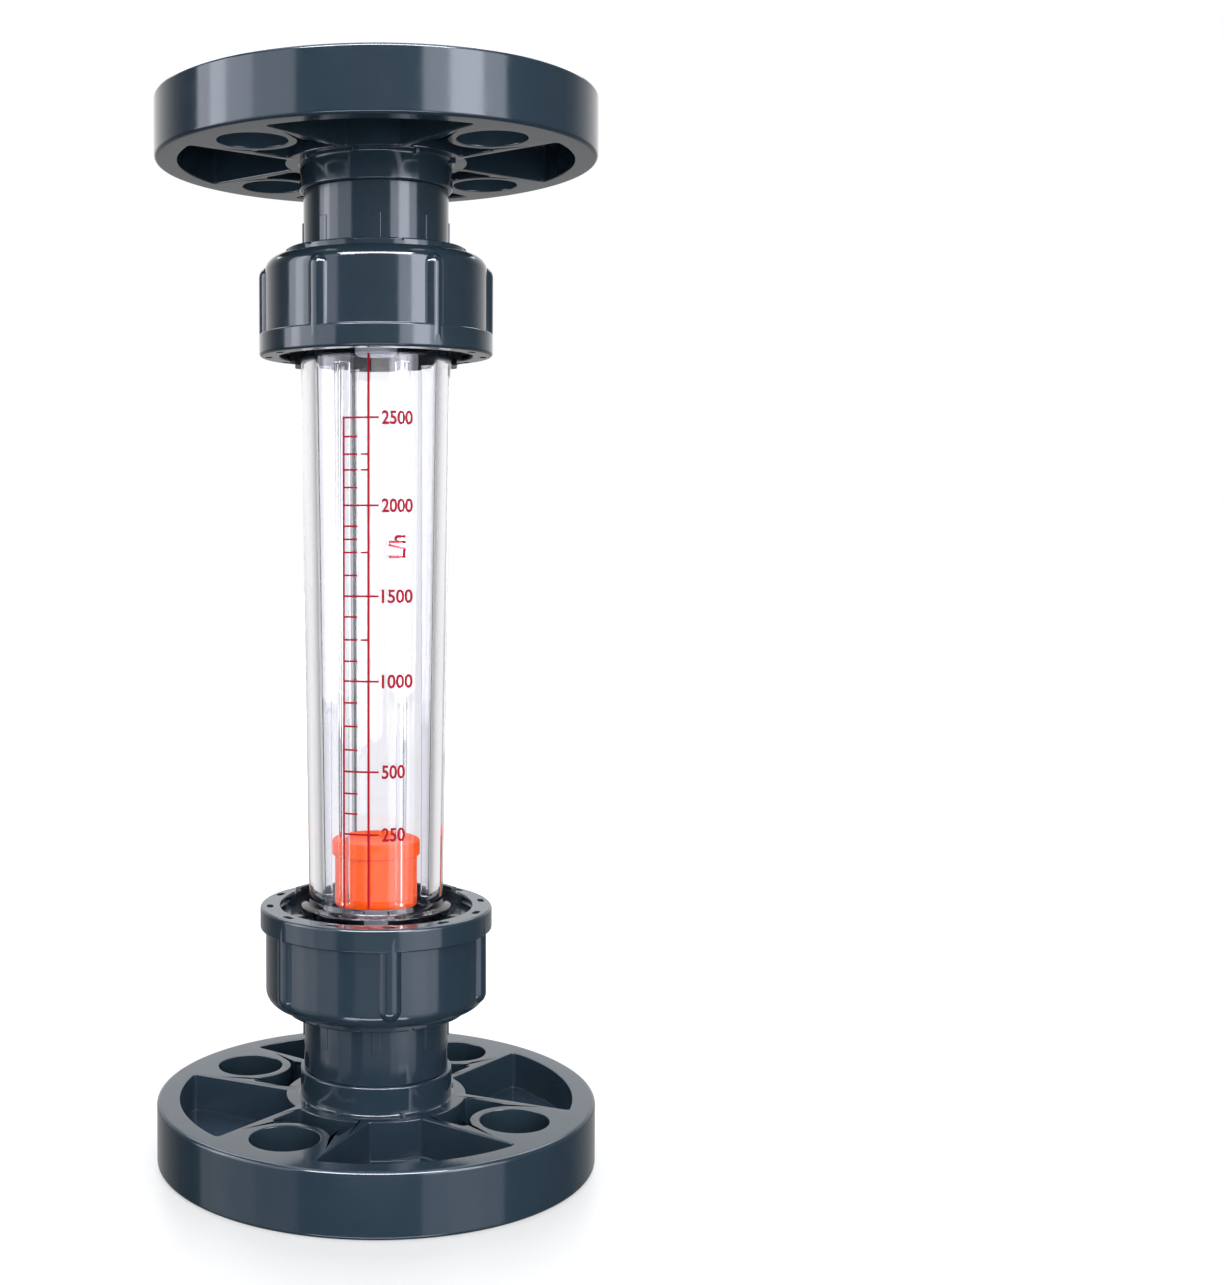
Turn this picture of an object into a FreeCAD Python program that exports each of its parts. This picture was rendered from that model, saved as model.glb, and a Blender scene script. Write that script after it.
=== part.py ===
import FreeCAD, Part
import os
import math
import Sketcher

# Flanged rotameter, clear plastic tube, DN25.
# Origin: centre of the lower flange's mating face. +Z is the flow direction.
# The scale and the front of the meter face -Y.
# One end is drawn from its mating face inwards; the upper end is the same parts turned over.

doc = FreeCAD.newDocument("rotameter")

SIZES = [
    ("total_height", 300.0),
    ("flange_radius", 62.5),
    ("flange_thickness", 17.5),
    ("plate_thickness", 7.0),
    ("rim_wall", 6.5),
    ("flange_edge_chamfer", 0.8),
    ("bolt_edge_distance", 17.5),
    ("bolt_hole_radius", 9.5),
    ("boss_wall", 2.7),
    ("web_foot_angle", 25.6),
    ("web_tip_angle", 15.0),
    ("web_half_thickness", 1.3),
    ("hub_step", 1.05),
    ("hub_collar_width", 4.15),
    ("hub_height", 8.0),
    ("hub_edge_chamfer", 0.5),
    ("flow_bore_radius", 12.5),
    ("spigot_wall", 4.5),
    ("spigot_length", 12.5),
    ("neck_wall", 3.5),
    ("neck_length", 16.5),
    ("neck_rib_width", 2.6),
    ("neck_rib_length", 7.6),
    ("neck_rib_height", 0.3),
    ("glue_gap", 0.1),
    ("nut_height", 30.0),
    ("nut_wall", 4.05),
    ("nut_shoulder_thickness", 5.0),
    ("nut_shoulder_round", 4.2),
    ("nut_end_ring_height", 2.0),
    ("nut_end_ring_wall", 4.9),
    ("nut_rim_chamfer", 0.6),
    ("nut_band_height", 6.3),
    ("nut_band_step", 1.6),
    ("nut_rib_radius", 3.4),
    ("nut_rib_proud", 0.1),
    ("nut_rib_rim_margin", 1.2),
    ("nut_rib_foot_margin", 1.4),
    ("nut_pocket_length", 3.6),
    ("nut_pocket_width", 1.5),
    ("nut_pocket_depth", 1.6),
    ("nut_notch_width", 2.4),
    ("nut_notch_depth", 1.0),
    ("running_gap", 0.3),
    ("seat_gap", 0.05),
    ("collar_thickness", 7.7),
    ("seal_section_radius", 1.5),
    ("tube_foot_thickness", 5.0),
    ("tube_foot_margin", 1.7),
    ("tube_seat_step", 0.1),
    ("tube_seat_length", 17.0),
    ("tube_wall", 3.85),
    ("tube_float_clearance", 2.75),
    ("tube_taper", 2.25),
    ("tube_root_round", 2.2),
    ("guide_rib_width", 1.5),
    ("guide_rib_inset", 2.5),
    ("ring_thickness", 9.5),
    ("ring_wall", 5.4),
    ("ring_lip_width", 3.6),
    ("ring_lip_rise", 3.9),
    ("ring_lip_half_angle", 68.0),
    ("ring_split_gap", 0.3),
    ("lug_width", 2.4),
    ("lug_height", 1.6),
    ("float_radius", 11.75),
    ("float_band_radius", 12.55),
    ("float_height", 19.1),
    ("float_band_height", 4.4),
    ("float_wall", 3.6),
    ("float_chamfer", 1.2),
    ("float_rim_width", 2.2),
    ("float_dish_depth", 1.0),
    ("float_plug_depth", 2.0),
    ("float_edge_chamfer", 0.5),
    ("stop_ring_inset", 3.1),
    ("stop_ring_wall", 3.4),
    ("stop_ring_height", 5.0),
    ("stop_hub_radius", 4.6),
    ("stop_post_radius", 3.4),
    ("stop_spoke_width", 2.2),
    ("bumper_radius", 6.0),
    ("bumper_thickness", 3.0),
    ("bumper_chamfer", 0.8),
]

sheet = doc.addObject("Spreadsheet::Sheet", "Sizes")
for row, (alias, value) in enumerate(SIZES, start=1):
    sheet.set("A%d" % row, alias)
    sheet.set("B%d" % row, str(value))
    sheet.setAlias("B%d" % row, alias)
doc.recompute()


def s(alias):
    """Expression text for one value of the sheet."""
    return "Sizes." + alias


# Lengths that follow from the sheet, each an expression.
TUBE_BORE_LOW = "(%s + %s)" % (s("float_band_radius"), s("tube_float_clearance"))
TUBE_RADIUS_LOW = "(%s + %s)" % (TUBE_BORE_LOW, s("tube_wall"))
TUBE_RADIUS_HIGH = "(%s + %s)" % (TUBE_RADIUS_LOW, s("tube_taper"))
TUBE_BORE_HIGH = "(%s - %s)" % (TUBE_RADIUS_HIGH, s("tube_wall"))
TUBE_SEAT_RADIUS = "(%s + %s)" % (TUBE_RADIUS_HIGH, s("tube_seat_step"))
SEAL_MIDDLE = "(%s + 0.2)" % TUBE_SEAT_RADIUS
STOP_RADIUS = "(%s - %s)" % (TUBE_SEAT_RADIUS, s("stop_ring_inset"))
SPIGOT_RADIUS = "(%s + %s)" % (s("flow_bore_radius"), s("spigot_wall"))
NECK_RADIUS = "(%s + %s + %s)" % (SPIGOT_RADIUS, s("glue_gap"), s("neck_wall"))
HUB_RADIUS = "(%s + %s)" % (NECK_RADIUS, s("hub_step"))
BOLT_RADIUS = "(%s - %s)" % (s("flange_radius"), s("bolt_edge_distance"))
POCKET_OUTER = "(%s - %s)" % (s("flange_radius"), s("rim_wall"))
POCKET_INNER = "(%s + %s)" % (HUB_RADIUS, s("hub_collar_width"))
BOSS_RADIUS = "(%s + %s)" % (s("bolt_hole_radius"), s("boss_wall"))
HUB_TOP = "(%s + %s)" % (s("flange_thickness"), s("hub_height"))
SPIGOT_TOP = "(%s + %s)" % (HUB_TOP, s("spigot_length"))
NUT_FOOT = "(%s + %s)" % (HUB_TOP, s("neck_length"))
NUT_TOP = "(%s + %s)" % (NUT_FOOT, s("nut_height"))
SHOULDER_TOP = "(%s + %s)" % (NUT_FOOT, s("nut_shoulder_thickness"))
COLLAR_FOOT = "(%s + %s)" % (SHOULDER_TOP, s("running_gap"))
SEAL_FACE = "(%s + %s)" % (COLLAR_FOOT, s("collar_thickness"))
RING_FOOT = "(%s + %s)" % (SEAL_FACE, s("tube_foot_thickness"))
RING_TOP = "(%s + %s)" % (RING_FOOT, s("ring_thickness"))
RING_INNER = "(%s + %s)" % (TUBE_SEAT_RADIUS, s("running_gap"))
RING_OUTER = "(%s + %s)" % (RING_INNER, s("ring_wall"))
NUT_BORE = "(%s + %s)" % (RING_OUTER, s("running_gap"))
NUT_RADIUS = "(%s + %s)" % (NUT_BORE, s("nut_wall"))
BAND_RADIUS = "(%s + %s)" % (NUT_RADIUS, s("nut_band_step"))
NUT_OPENING = "(%s + %s)" % (NECK_RADIUS, s("running_gap"))
SEAT_TOP = "(%s + %s)" % (SEAL_FACE, s("tube_seat_length"))
GUIDE_RADIUS = "(%s + %s)" % (s("float_band_radius"), s("running_gap"))
STOP_POCKET_RADIUS = "(%s + %s)" % (STOP_RADIUS, s("glue_gap"))
STOP_POCKET_FOOT = "(%s - %s)" % (SEAL_FACE, s("stop_ring_height"))
STOP_INNER = "(%s - %s)" % (STOP_RADIUS, s("stop_ring_wall"))
STOP_TIP = "(%s - %s)" % (NUT_TOP, s("running_gap"))
BUMPER_FOOT = "(%s - %s)" % (STOP_TIP, s("bumper_thickness"))
SHIFT_UP = s("total_height")


def value_of(expression):
    """Number that an expression has now."""
    result = sheet.evalExpression(expression)
    return float(getattr(result, "Value", result))


def bind(obj, **expressions):
    """Ties properties to the sheet; two underscores stand for a full stop."""
    for prop, expression in expressions.items():
        obj.setExpression(prop.replace("__", "."), expression)


# ---------------------------------------------------------------- sketches


def origin_plane(body, role):
    for feature in body.Origin.OriginFeatures:
        if feature.Role == role:
            return feature
    raise RuntimeError("no plane " + role)


def plane_sketch(body, name, role):
    sketch = body.newObject("Sketcher::SketchObject", name)
    sketch.AttachmentSupport = [(origin_plane(body, role), "")]
    sketch.MapMode = "FlatFace"
    return sketch


def pin_length(sketch, kind, places, expression):
    """Adds one dimension and ties it to an expression."""
    index = sketch.addConstraint(Sketcher.Constraint(kind, *places, value_of(expression)))
    sketch.setExpression("Constraints[%d]" % index, expression)


def outline(sketch, corners):
    """Closed polygon whose corners are pairs of expressions, none negative."""
    points = [FreeCAD.Vector(value_of(x), value_of(y), 0) for x, y in corners]
    count = len(points)
    for i in range(count):
        sketch.addGeometry(Part.LineSegment(points[i], points[(i + 1) % count]))
    for i in range(count):
        sketch.addConstraint(Sketcher.Constraint("Coincident", i, 2, (i + 1) % count, 1))
    for i, (x, y) in enumerate(corners):
        pin_length(sketch, "DistanceX", (-1, 1, i, 1), x)
        pin_length(sketch, "DistanceY", (-1, 1, i, 1), y)


def turned(name, corners):
    """Body of revolution about Z from a half section of (radius, height)."""
    body = doc.addObject("PartDesign::Body", name)
    sketch = plane_sketch(body, name + "_section", "XZ_Plane")
    outline(sketch, corners)
    turn = body.newObject("PartDesign::Revolution", name + "_turn")
    turn.Profile = sketch
    turn.ReferenceAxis = (sketch, ["V_Axis"])
    turn.Angle = 360
    sketch.Visibility = False
    doc.recompute()
    return body


def circle_edges(shape, radius, height):
    """Names of full or part circles of this radius lying at this height."""
    found = []
    for number, edge in enumerate(shape.Edges, start=1):
        curve = edge.Curve
        if curve.TypeId != "Part::GeomCircle":
            continue
        if abs(curve.Radius - radius) < 0.01 and abs(curve.Center.z - height) < 0.01:
            found.append("Edge%d" % number)
    return found


def bevel_circles(body, name, places, size):
    """Bevels the circular edges at the given (radius, height) expressions."""
    tip = body.Tip
    names = []
    for edge_radius, height in places:
        found = circle_edges(tip.Shape, value_of(edge_radius), value_of(height))
        if not found:
            raise RuntimeError("no edge to bevel in " + name)
        names.extend(found)
    bevel = body.newObject("PartDesign::Chamfer", name)
    bevel.Base = (tip, names)
    bevel.setExpression("Size", size)
    doc.recompute()
    return bevel


def drum(name, radius, height, z, x="0", y="0"):
    cylinder = doc.addObject("Part::Cylinder", name)
    bind(cylinder, Radius=radius, Height=height,
         Placement__Base__x=x, Placement__Base__y=y, Placement__Base__z=z)
    return cylinder


def polar(radius, degrees):
    """X and Y expressions of a point at this radius and fixed direction."""
    return ("%s * cos(%s deg)" % (radius, degrees), "%s * sin(%s deg)" % (radius, degrees))


def turned_block(name, length, width, height, inner, z, degrees):
    """Box that points outwards from the axis in the given direction."""
    box = doc.addObject("Part::Box", name)
    turn = FreeCAD.Rotation(FreeCAD.Vector(0, 0, 1), degrees)
    box.Placement = FreeCAD.Placement(FreeCAD.Vector(0, 0, 0), turn)
    across = "(%s / 2)" % width
    bind(box, Length=length, Width=width, Height=height,
         Placement__Base__x="%s * cos(%s deg) + %s * sin(%s deg)" % (inner, degrees, across, degrees),
         Placement__Base__y="%s * sin(%s deg) - %s * cos(%s deg)" % (inner, degrees, across, degrees),
         Placement__Base__z=z)
    return box


def fused(name, shapes):
    fuse = doc.addObject("Part::MultiFuse", name)
    fuse.Shapes = shapes
    return fuse


def cut(name, base, tool):
    result = doc.addObject("Part::Cut", name)
    result.Base = base
    result.Tool = tool
    return result


FINISHED = []


def finish(obj, label, upper=False, phase=0.0):
    """Names a finished piece and puts it at its end, turned over at the upper one."""
    obj.Label = label
    spin = FreeCAD.Rotation(FreeCAD.Vector(0, 0, 1), phase)
    if upper:
        flip = FreeCAD.Rotation(FreeCAD.Vector(1, 0, 0), 180)
        obj.Placement = FreeCAD.Placement(FreeCAD.Vector(0, 0, 0), flip.multiply(spin))
        bind(obj, Placement__Base__z=SHIFT_UP)
    else:
        obj.Placement = FreeCAD.Placement(FreeCAD.Vector(0, 0, 0), spin)
    FINISHED.append(obj)


# ---------------------------------------------------------------- flange


def arc_points(radius, height):
    """Point on a circle about the origin at a known height above its middle line."""
    return FreeCAD.Vector(math.sqrt(radius * radius - height * height), height, 0)


def large_pocket_sketch(sketch):
    """Pocket between two neighbouring bosses, symmetric about the X axis."""
    inner = value_of(POCKET_INNER)
    outer = value_of(POCKET_OUTER)
    foot_rise = "(%s * sin((45 - %s) * 1 deg) - %s)" % (POCKET_INNER, s("web_foot_angle"),
                                                        s("web_half_thickness"))
    tip_rise = "(%s * sin((45 - %s) * 1 deg) - %s)" % (POCKET_OUTER, s("web_tip_angle"),
                                                       s("web_half_thickness"))
    foot = arc_points(inner, value_of(foot_rise))
    tip = arc_points(outer, value_of(tip_rise))
    foot_angle = math.atan2(foot.y, foot.x)
    tip_angle = math.atan2(tip.y, tip.x)
    middle = FreeCAD.Vector(0, 0, 0)
    up = FreeCAD.Vector(0, 0, 1)
    sketch.addGeometry(Part.ArcOfCircle(Part.Circle(middle, up, inner), -foot_angle, foot_angle))
    sketch.addGeometry(Part.ArcOfCircle(Part.Circle(middle, up, outer), -tip_angle, tip_angle))
    sketch.addGeometry(Part.LineSegment(foot, tip))
    sketch.addGeometry(Part.LineSegment(FreeCAD.Vector(foot.x, -foot.y, 0),
                                        FreeCAD.Vector(tip.x, -tip.y, 0)))
    for pair in ((2, 1, 0, 2), (2, 2, 1, 2), (3, 1, 0, 1), (3, 2, 1, 1)):
        sketch.addConstraint(Sketcher.Constraint("Coincident", *pair))
    for arc, radius, rise in ((0, POCKET_INNER, foot_rise), (1, POCKET_OUTER, tip_rise)):
        sketch.addConstraint(Sketcher.Constraint("Coincident", arc, 3, -1, 1))
        pin_length(sketch, "Radius", (arc,), radius)
        pin_length(sketch, "DistanceY", (-1, 1, arc, 2), rise)
        sketch.addConstraint(Sketcher.Constraint("Symmetric", arc, 1, arc, 2, -1))


def small_pocket_sketch(sketch):
    """Pocket between the hub, one boss and that boss's two webs."""
    inner = value_of(POCKET_INNER)
    boss = value_of(BOSS_RADIUS)
    bolt = value_of(BOLT_RADIUS)
    foot_rise = "(%s * sin(%s * 1 deg) - %s)" % (POCKET_INNER, s("web_foot_angle"),
                                                 s("web_half_thickness"))
    tip_rise = "(%s * 0.955)" % BOSS_RADIUS
    foot = arc_points(inner, value_of(foot_rise))
    reach = value_of(tip_rise)
    back = math.sqrt(boss * boss - reach * reach)
    tip = FreeCAD.Vector(bolt - back, reach, 0)
    foot_angle = math.atan2(foot.y, foot.x)
    tip_angle = math.atan2(reach, -back)
    middle = FreeCAD.Vector(0, 0, 0)
    up = FreeCAD.Vector(0, 0, 1)
    hole_middle = FreeCAD.Vector(bolt, 0, 0)
    sketch.addGeometry(Part.ArcOfCircle(Part.Circle(middle, up, inner), -foot_angle, foot_angle))
    sketch.addGeometry(Part.ArcOfCircle(Part.Circle(hole_middle, up, boss),
                                        tip_angle, 2 * math.pi - tip_angle))
    sketch.addGeometry(Part.LineSegment(foot, tip))
    sketch.addGeometry(Part.LineSegment(FreeCAD.Vector(foot.x, -foot.y, 0),
                                        FreeCAD.Vector(tip.x, -tip.y, 0)))
    for pair in ((2, 1, 0, 2), (2, 2, 1, 1), (3, 1, 0, 1), (3, 2, 1, 2)):
        sketch.addConstraint(Sketcher.Constraint("Coincident", *pair))
    sketch.addConstraint(Sketcher.Constraint("Coincident", 0, 3, -1, 1))
    pin_length(sketch, "Radius", (0,), POCKET_INNER)
    pin_length(sketch, "DistanceY", (-1, 1, 0, 2), foot_rise)
    sketch.addConstraint(Sketcher.Constraint("Symmetric", 0, 1, 0, 2, -1))
    sketch.addConstraint(Sketcher.Constraint("PointOnObject", 1, 3, -1))
    pin_length(sketch, "DistanceX", (-1, 1, 1, 3), BOLT_RADIUS)
    pin_length(sketch, "Radius", (1,), BOSS_RADIUS)
    pin_length(sketch, "DistanceY", (-1, 1, 1, 1), tip_rise)
    sketch.addConstraint(Sketcher.Constraint("Symmetric", 1, 1, 1, 2, -1))


def sunk_pocket(body, name, draw, turn=0.0, through=False):
    """Pocket cut down from the inner face of the flange."""
    sketch = plane_sketch(body, name + "_outline", "XY_Plane")
    spin = FreeCAD.Rotation(FreeCAD.Vector(0, 0, 1), turn)
    sketch.AttachmentOffset = FreeCAD.Placement(FreeCAD.Vector(0, 0, 0), spin)
    bind(sketch, AttachmentOffset__Base__z=s("flange_thickness"))
    draw(sketch)
    doc.recompute()
    before = body.Tip.Shape.Volume
    pocket = body.newObject("PartDesign::Pocket", name)
    pocket.Profile = sketch
    sketch.Visibility = False
    if through:
        pocket.Type = 1
    else:
        bind(pocket, Length="%s - %s" % (s("flange_thickness"), s("plate_thickness")))
    doc.recompute()
    if pocket.Shape.Volume > before - 1.0:
        pocket.Reversed = True
        doc.recompute()
    return pocket


def hole_sketch(sketch):
    middle = FreeCAD.Vector(value_of(BOLT_RADIUS), 0, 0)
    sketch.addGeometry(Part.Circle(middle, FreeCAD.Vector(0, 0, 1), value_of(s("bolt_hole_radius"))))
    sketch.addConstraint(Sketcher.Constraint("PointOnObject", 0, 3, -1))
    pin_length(sketch, "DistanceX", (-1, 1, 0, 3), BOLT_RADIUS)
    pin_length(sketch, "Radius", (0,), s("bolt_hole_radius"))


def quarter_copies(body, name, features):
    pattern = body.newObject("PartDesign::PolarPattern", name)
    pattern.Originals = features
    pattern.Axis = (origin_plane(body, "Z_Axis"), [""])
    pattern.Angle = 360
    pattern.Occurrences = 4
    doc.recompute()
    body.Tip = pattern
    return pattern


def make_flange(label, upper, phase):
    corners = [
        (s("flow_bore_radius"), "0"),
        (s("flange_radius"), "0"),
        (s("flange_radius"), s("flange_thickness")),
        (HUB_RADIUS, s("flange_thickness")),
        (HUB_RADIUS, HUB_TOP),
        (SPIGOT_RADIUS, HUB_TOP),
        (SPIGOT_RADIUS, SPIGOT_TOP),
        (s("flow_bore_radius"), SPIGOT_TOP),
    ]
    body = turned(label + "_body", corners)
    bevel_circles(body, label + "_edge_bevel",
                  [(s("flange_radius"), "0"), (s("flange_radius"), s("flange_thickness"))],
                  s("flange_edge_chamfer"))
    bevel_circles(body, label + "_hub_bevel", [(HUB_RADIUS, HUB_TOP)],
                  s("hub_edge_chamfer"))
    large = sunk_pocket(body, label + "_large_pocket", large_pocket_sketch, 45.0)
    small = sunk_pocket(body, label + "_small_pocket", small_pocket_sketch)
    hole = sunk_pocket(body, label + "_bolt_hole", hole_sketch, 0.0, True)
    quarter_copies(body, label + "_quarters", [large, small, hole])
    finish(body, label, upper, phase)


# ---------------------------------------------------------------- union end, nut, ring, seal


NECK_RIB_COUNT = 8


def make_union_end(label, upper, phase):
    groove_inner = "(%s - %s - 0.1)" % (SEAL_MIDDLE, s("seal_section_radius"))
    groove_outer = "(%s + %s + 0.1)" % (SEAL_MIDDLE, s("seal_section_radius"))
    groove_foot = "(%s - 2 * %s + %s)" % (SEAL_FACE, s("seal_section_radius"), s("seat_gap"))
    socket_radius = "(%s + %s)" % (SPIGOT_RADIUS, s("glue_gap"))
    collar_radius = "(%s - %s)" % (NUT_BORE, s("running_gap"))
    corners = [
        (socket_radius, HUB_TOP),
        (NECK_RADIUS, HUB_TOP),
        (NECK_RADIUS, COLLAR_FOOT),
        (collar_radius, COLLAR_FOOT),
        (collar_radius, SEAL_FACE),
        (groove_outer, SEAL_FACE),
        (groove_outer, groove_foot),
        (groove_inner, groove_foot),
        (groove_inner, SEAL_FACE),
        (STOP_POCKET_RADIUS, SEAL_FACE),
        (STOP_POCKET_RADIUS, STOP_POCKET_FOOT),
        (STOP_INNER, STOP_POCKET_FOOT),
        (s("flow_bore_radius"), "(%s + 2)" % SPIGOT_TOP),
        (s("flow_bore_radius"), SPIGOT_TOP),
        (socket_radius, SPIGOT_TOP),
    ]
    body = turned(label + "_body", corners)
    ribs = []
    for i in range(NECK_RIB_COUNT):
        ribs.append(turned_block("%s_rib_%d" % (label, i),
                                 "(%s + 1)" % s("neck_rib_height"), s("neck_rib_width"),
                                 s("neck_rib_length"), "(%s - 1)" % NECK_RADIUS,
                                 "(%s - %s - 0.2)" % (NUT_FOOT, s("neck_rib_length")),
                                 360.0 / NECK_RIB_COUNT * i))
    finish(fused(label + "_solid", [body] + ribs), label, upper, phase)


GRIP_RIB_COUNT = 6
RIM_POCKET_COUNT = 12
END_NOTCH_COUNT = 6


def make_nut(label, upper, phase):
    end_ring_radius = "(%s + %s)" % (NUT_OPENING, s("nut_end_ring_wall"))
    body_foot = "(%s + %s)" % (NUT_FOOT, s("nut_end_ring_height"))
    band_foot = "(%s - %s)" % (NUT_TOP, s("nut_band_height"))
    corners = [
        (NUT_OPENING, NUT_FOOT),
        (end_ring_radius, NUT_FOOT),
        (end_ring_radius, body_foot),
        ("(%s - %s)" % (NUT_RADIUS, s("nut_shoulder_round")), body_foot),
        ("(%s - 0.42 * %s)" % (NUT_RADIUS, s("nut_shoulder_round")),
         "(%s + 0.18 * %s)" % (body_foot, s("nut_shoulder_round"))),
        ("(%s - 0.09 * %s)" % (NUT_RADIUS, s("nut_shoulder_round")),
         "(%s + 0.55 * %s)" % (body_foot, s("nut_shoulder_round"))),
        (NUT_RADIUS, "(%s + %s)" % (body_foot, s("nut_shoulder_round"))),
        (NUT_RADIUS, band_foot),
        (BAND_RADIUS, band_foot),
        (BAND_RADIUS, NUT_TOP),
        (NUT_BORE, NUT_TOP),
        (NUT_BORE, SHOULDER_TOP),
        (NUT_OPENING, SHOULDER_TOP),
    ]
    body = turned(label + "_body", corners)
    bevel_circles(body, label + "_rim_bevel", [(BAND_RADIUS, NUT_TOP)], s("nut_rim_chamfer"))

    added = []
    rib_middle = "(%s + %s - %s)" % (BAND_RADIUS, s("nut_rib_proud"), s("nut_rib_radius"))
    nose_length = "(%s * 0.7)" % s("nut_rib_radius")
    rib_foot = "(%s + %s + %s)" % (body_foot, nose_length, s("nut_rib_foot_margin"))
    rib_length = "(%s - %s - %s)" % (NUT_TOP, s("nut_rib_rim_margin"), rib_foot)
    for i in range(GRIP_RIB_COUNT):
        x, y = polar(rib_middle, 360.0 / GRIP_RIB_COUNT * i)
        added.append(drum("%s_rib_%d" % (label, i), s("nut_rib_radius"), rib_length, rib_foot, x, y))
        nose = doc.addObject("Part::Cone", "%s_rib_nose_%d" % (label, i))
        bind(nose, Radius1="%s / 2" % s("nut_rib_radius"), Radius2=s("nut_rib_radius"),
             Height=nose_length, Placement__Base__x=x, Placement__Base__y=y,
             Placement__Base__z="%s - %s" % (rib_foot, nose_length))
        added.append(nose)
    full = fused(label + "_full", [body] + added)

    removed = [drum(label + "_bore", NUT_BORE, "%s - %s + 1" % (NUT_TOP, SHOULDER_TOP), SHOULDER_TOP)]
    pocket_inner = "((%s + %s - %s) / 2)" % (BAND_RADIUS, NUT_BORE, s("nut_pocket_width"))
    for i in range(RIM_POCKET_COUNT):
        removed.append(turned_block("%s_pocket_%d" % (label, i), s("nut_pocket_width"),
                                    s("nut_pocket_length"), "(%s + 1)" % s("nut_pocket_depth"),
                                    pocket_inner, "(%s - %s)" % (NUT_TOP, s("nut_pocket_depth")),
                                    360.0 / RIM_POCKET_COUNT * i))
    for i in range(END_NOTCH_COUNT):
        removed.append(turned_block("%s_notch_%d" % (label, i), "3", s("nut_notch_width"),
                                    "(1 + %s)" % s("nut_notch_depth"),
                                    "(%s - %s / 2)" % (end_ring_radius, s("nut_notch_width")),
                                    "(%s - 1)" % NUT_FOOT, 360.0 / END_NOTCH_COUNT * (i + 0.5)))
    removal = fused(label + "_removed", removed)
    finish(cut(label + "_solid", full, removal), label, upper, phase)


def half_space(name, front):
    """Large block on one side of the plane that splits a ring."""
    size = "(%s * 2)" % RING_OUTER
    box = doc.addObject("Part::Box", name)
    near = "(%s / 2)" % s("ring_split_gap")
    start = "-%s - %s" % (size, near) if front else near
    bind(box, Length="%s * 2" % size, Width=size, Height="%s * 2" % SEAT_TOP,
         Placement__Base__x="-%s" % size, Placement__Base__y=start)
    return box


LUG_DIRECTIONS = (20.0, 55.0, 90.0, 125.0, 160.0)


def make_ring_half(label, upper, front):
    """Half of the threaded ring; the side on -Y of the finished meter is the front."""
    lower_y = front != upper
    sign = -1 if lower_y else 1
    outer = drum(label + "_outer", RING_OUTER, s("ring_thickness"), RING_FOOT)
    parts = [outer]
    if front:
        for i, direction in enumerate(LUG_DIRECTIONS):
            parts.append(turned_block("%s_lug_%d" % (label, i), s("ring_wall"), s("lug_width"),
                                      s("lug_height"), "(%s - 0.4)" % RING_INNER, RING_TOP,
                                      sign * direction))
    else:
        lip = doc.addObject("Part::Cylinder", label + "_lip")
        lip_outer = "(%s - 0.2)" % RING_OUTER
        bind(lip, Radius=lip_outer, Height=s("ring_lip_rise"), Angle="2 * %s" % s("ring_lip_half_angle"),
             Placement__Base__z=RING_TOP)
        turn = FreeCAD.Rotation(FreeCAD.Vector(0, 0, 1),
                                sign * 90.0 - value_of(s("ring_lip_half_angle")))
        lip.Placement = FreeCAD.Placement(FreeCAD.Vector(0, 0, 0), turn)
        bind(lip, Placement__Base__z=RING_TOP)
        core = drum(label + "_lip_core", "(%s - %s)" % (lip_outer, s("ring_lip_width")),
                    "%s + 1" % s("ring_lip_rise"), RING_TOP)
        parts.append(cut(label + "_lip_arc", lip, core))
    solid = fused(label + "_joined", parts) if len(parts) > 1 else outer
    bored = cut(label + "_bored", solid,
                drum(label + "_bore", RING_INNER, "%s * 3" % s("ring_thickness"), RING_FOOT))
    half = doc.addObject("Part::Common", label + "_solid")
    half.Base = bored
    half.Tool = half_space(label + "_side", lower_y)
    finish(half, label, upper, 0.0)


def make_seal(label, upper):
    """Rubber ring, squeezed flat where it meets its groove and the tube's foot."""
    middle = SEAL_MIDDLE
    reach = "(%s - %s)" % (s("seal_section_radius"), s("seat_gap"))
    flat = "(%s * 0.5)" % reach
    centre = "(%s - %s)" % (SEAL_FACE, s("seal_section_radius"))
    corners = []
    for across, along in ((-1, -1), (1, -1), (2, 0), (1, 1), (-1, 1), (-2, 0)):
        corners.append(("(%s + %d * %s)" % (middle, across, flat),
                        "(%s + %d * %s)" % (centre, along, reach)))
    finish(turned(label + "_body", corners), label, upper, 0.0)


# ---------------------------------------------------------------- stops and bumpers


SPOKE_COUNT = 4


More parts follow.
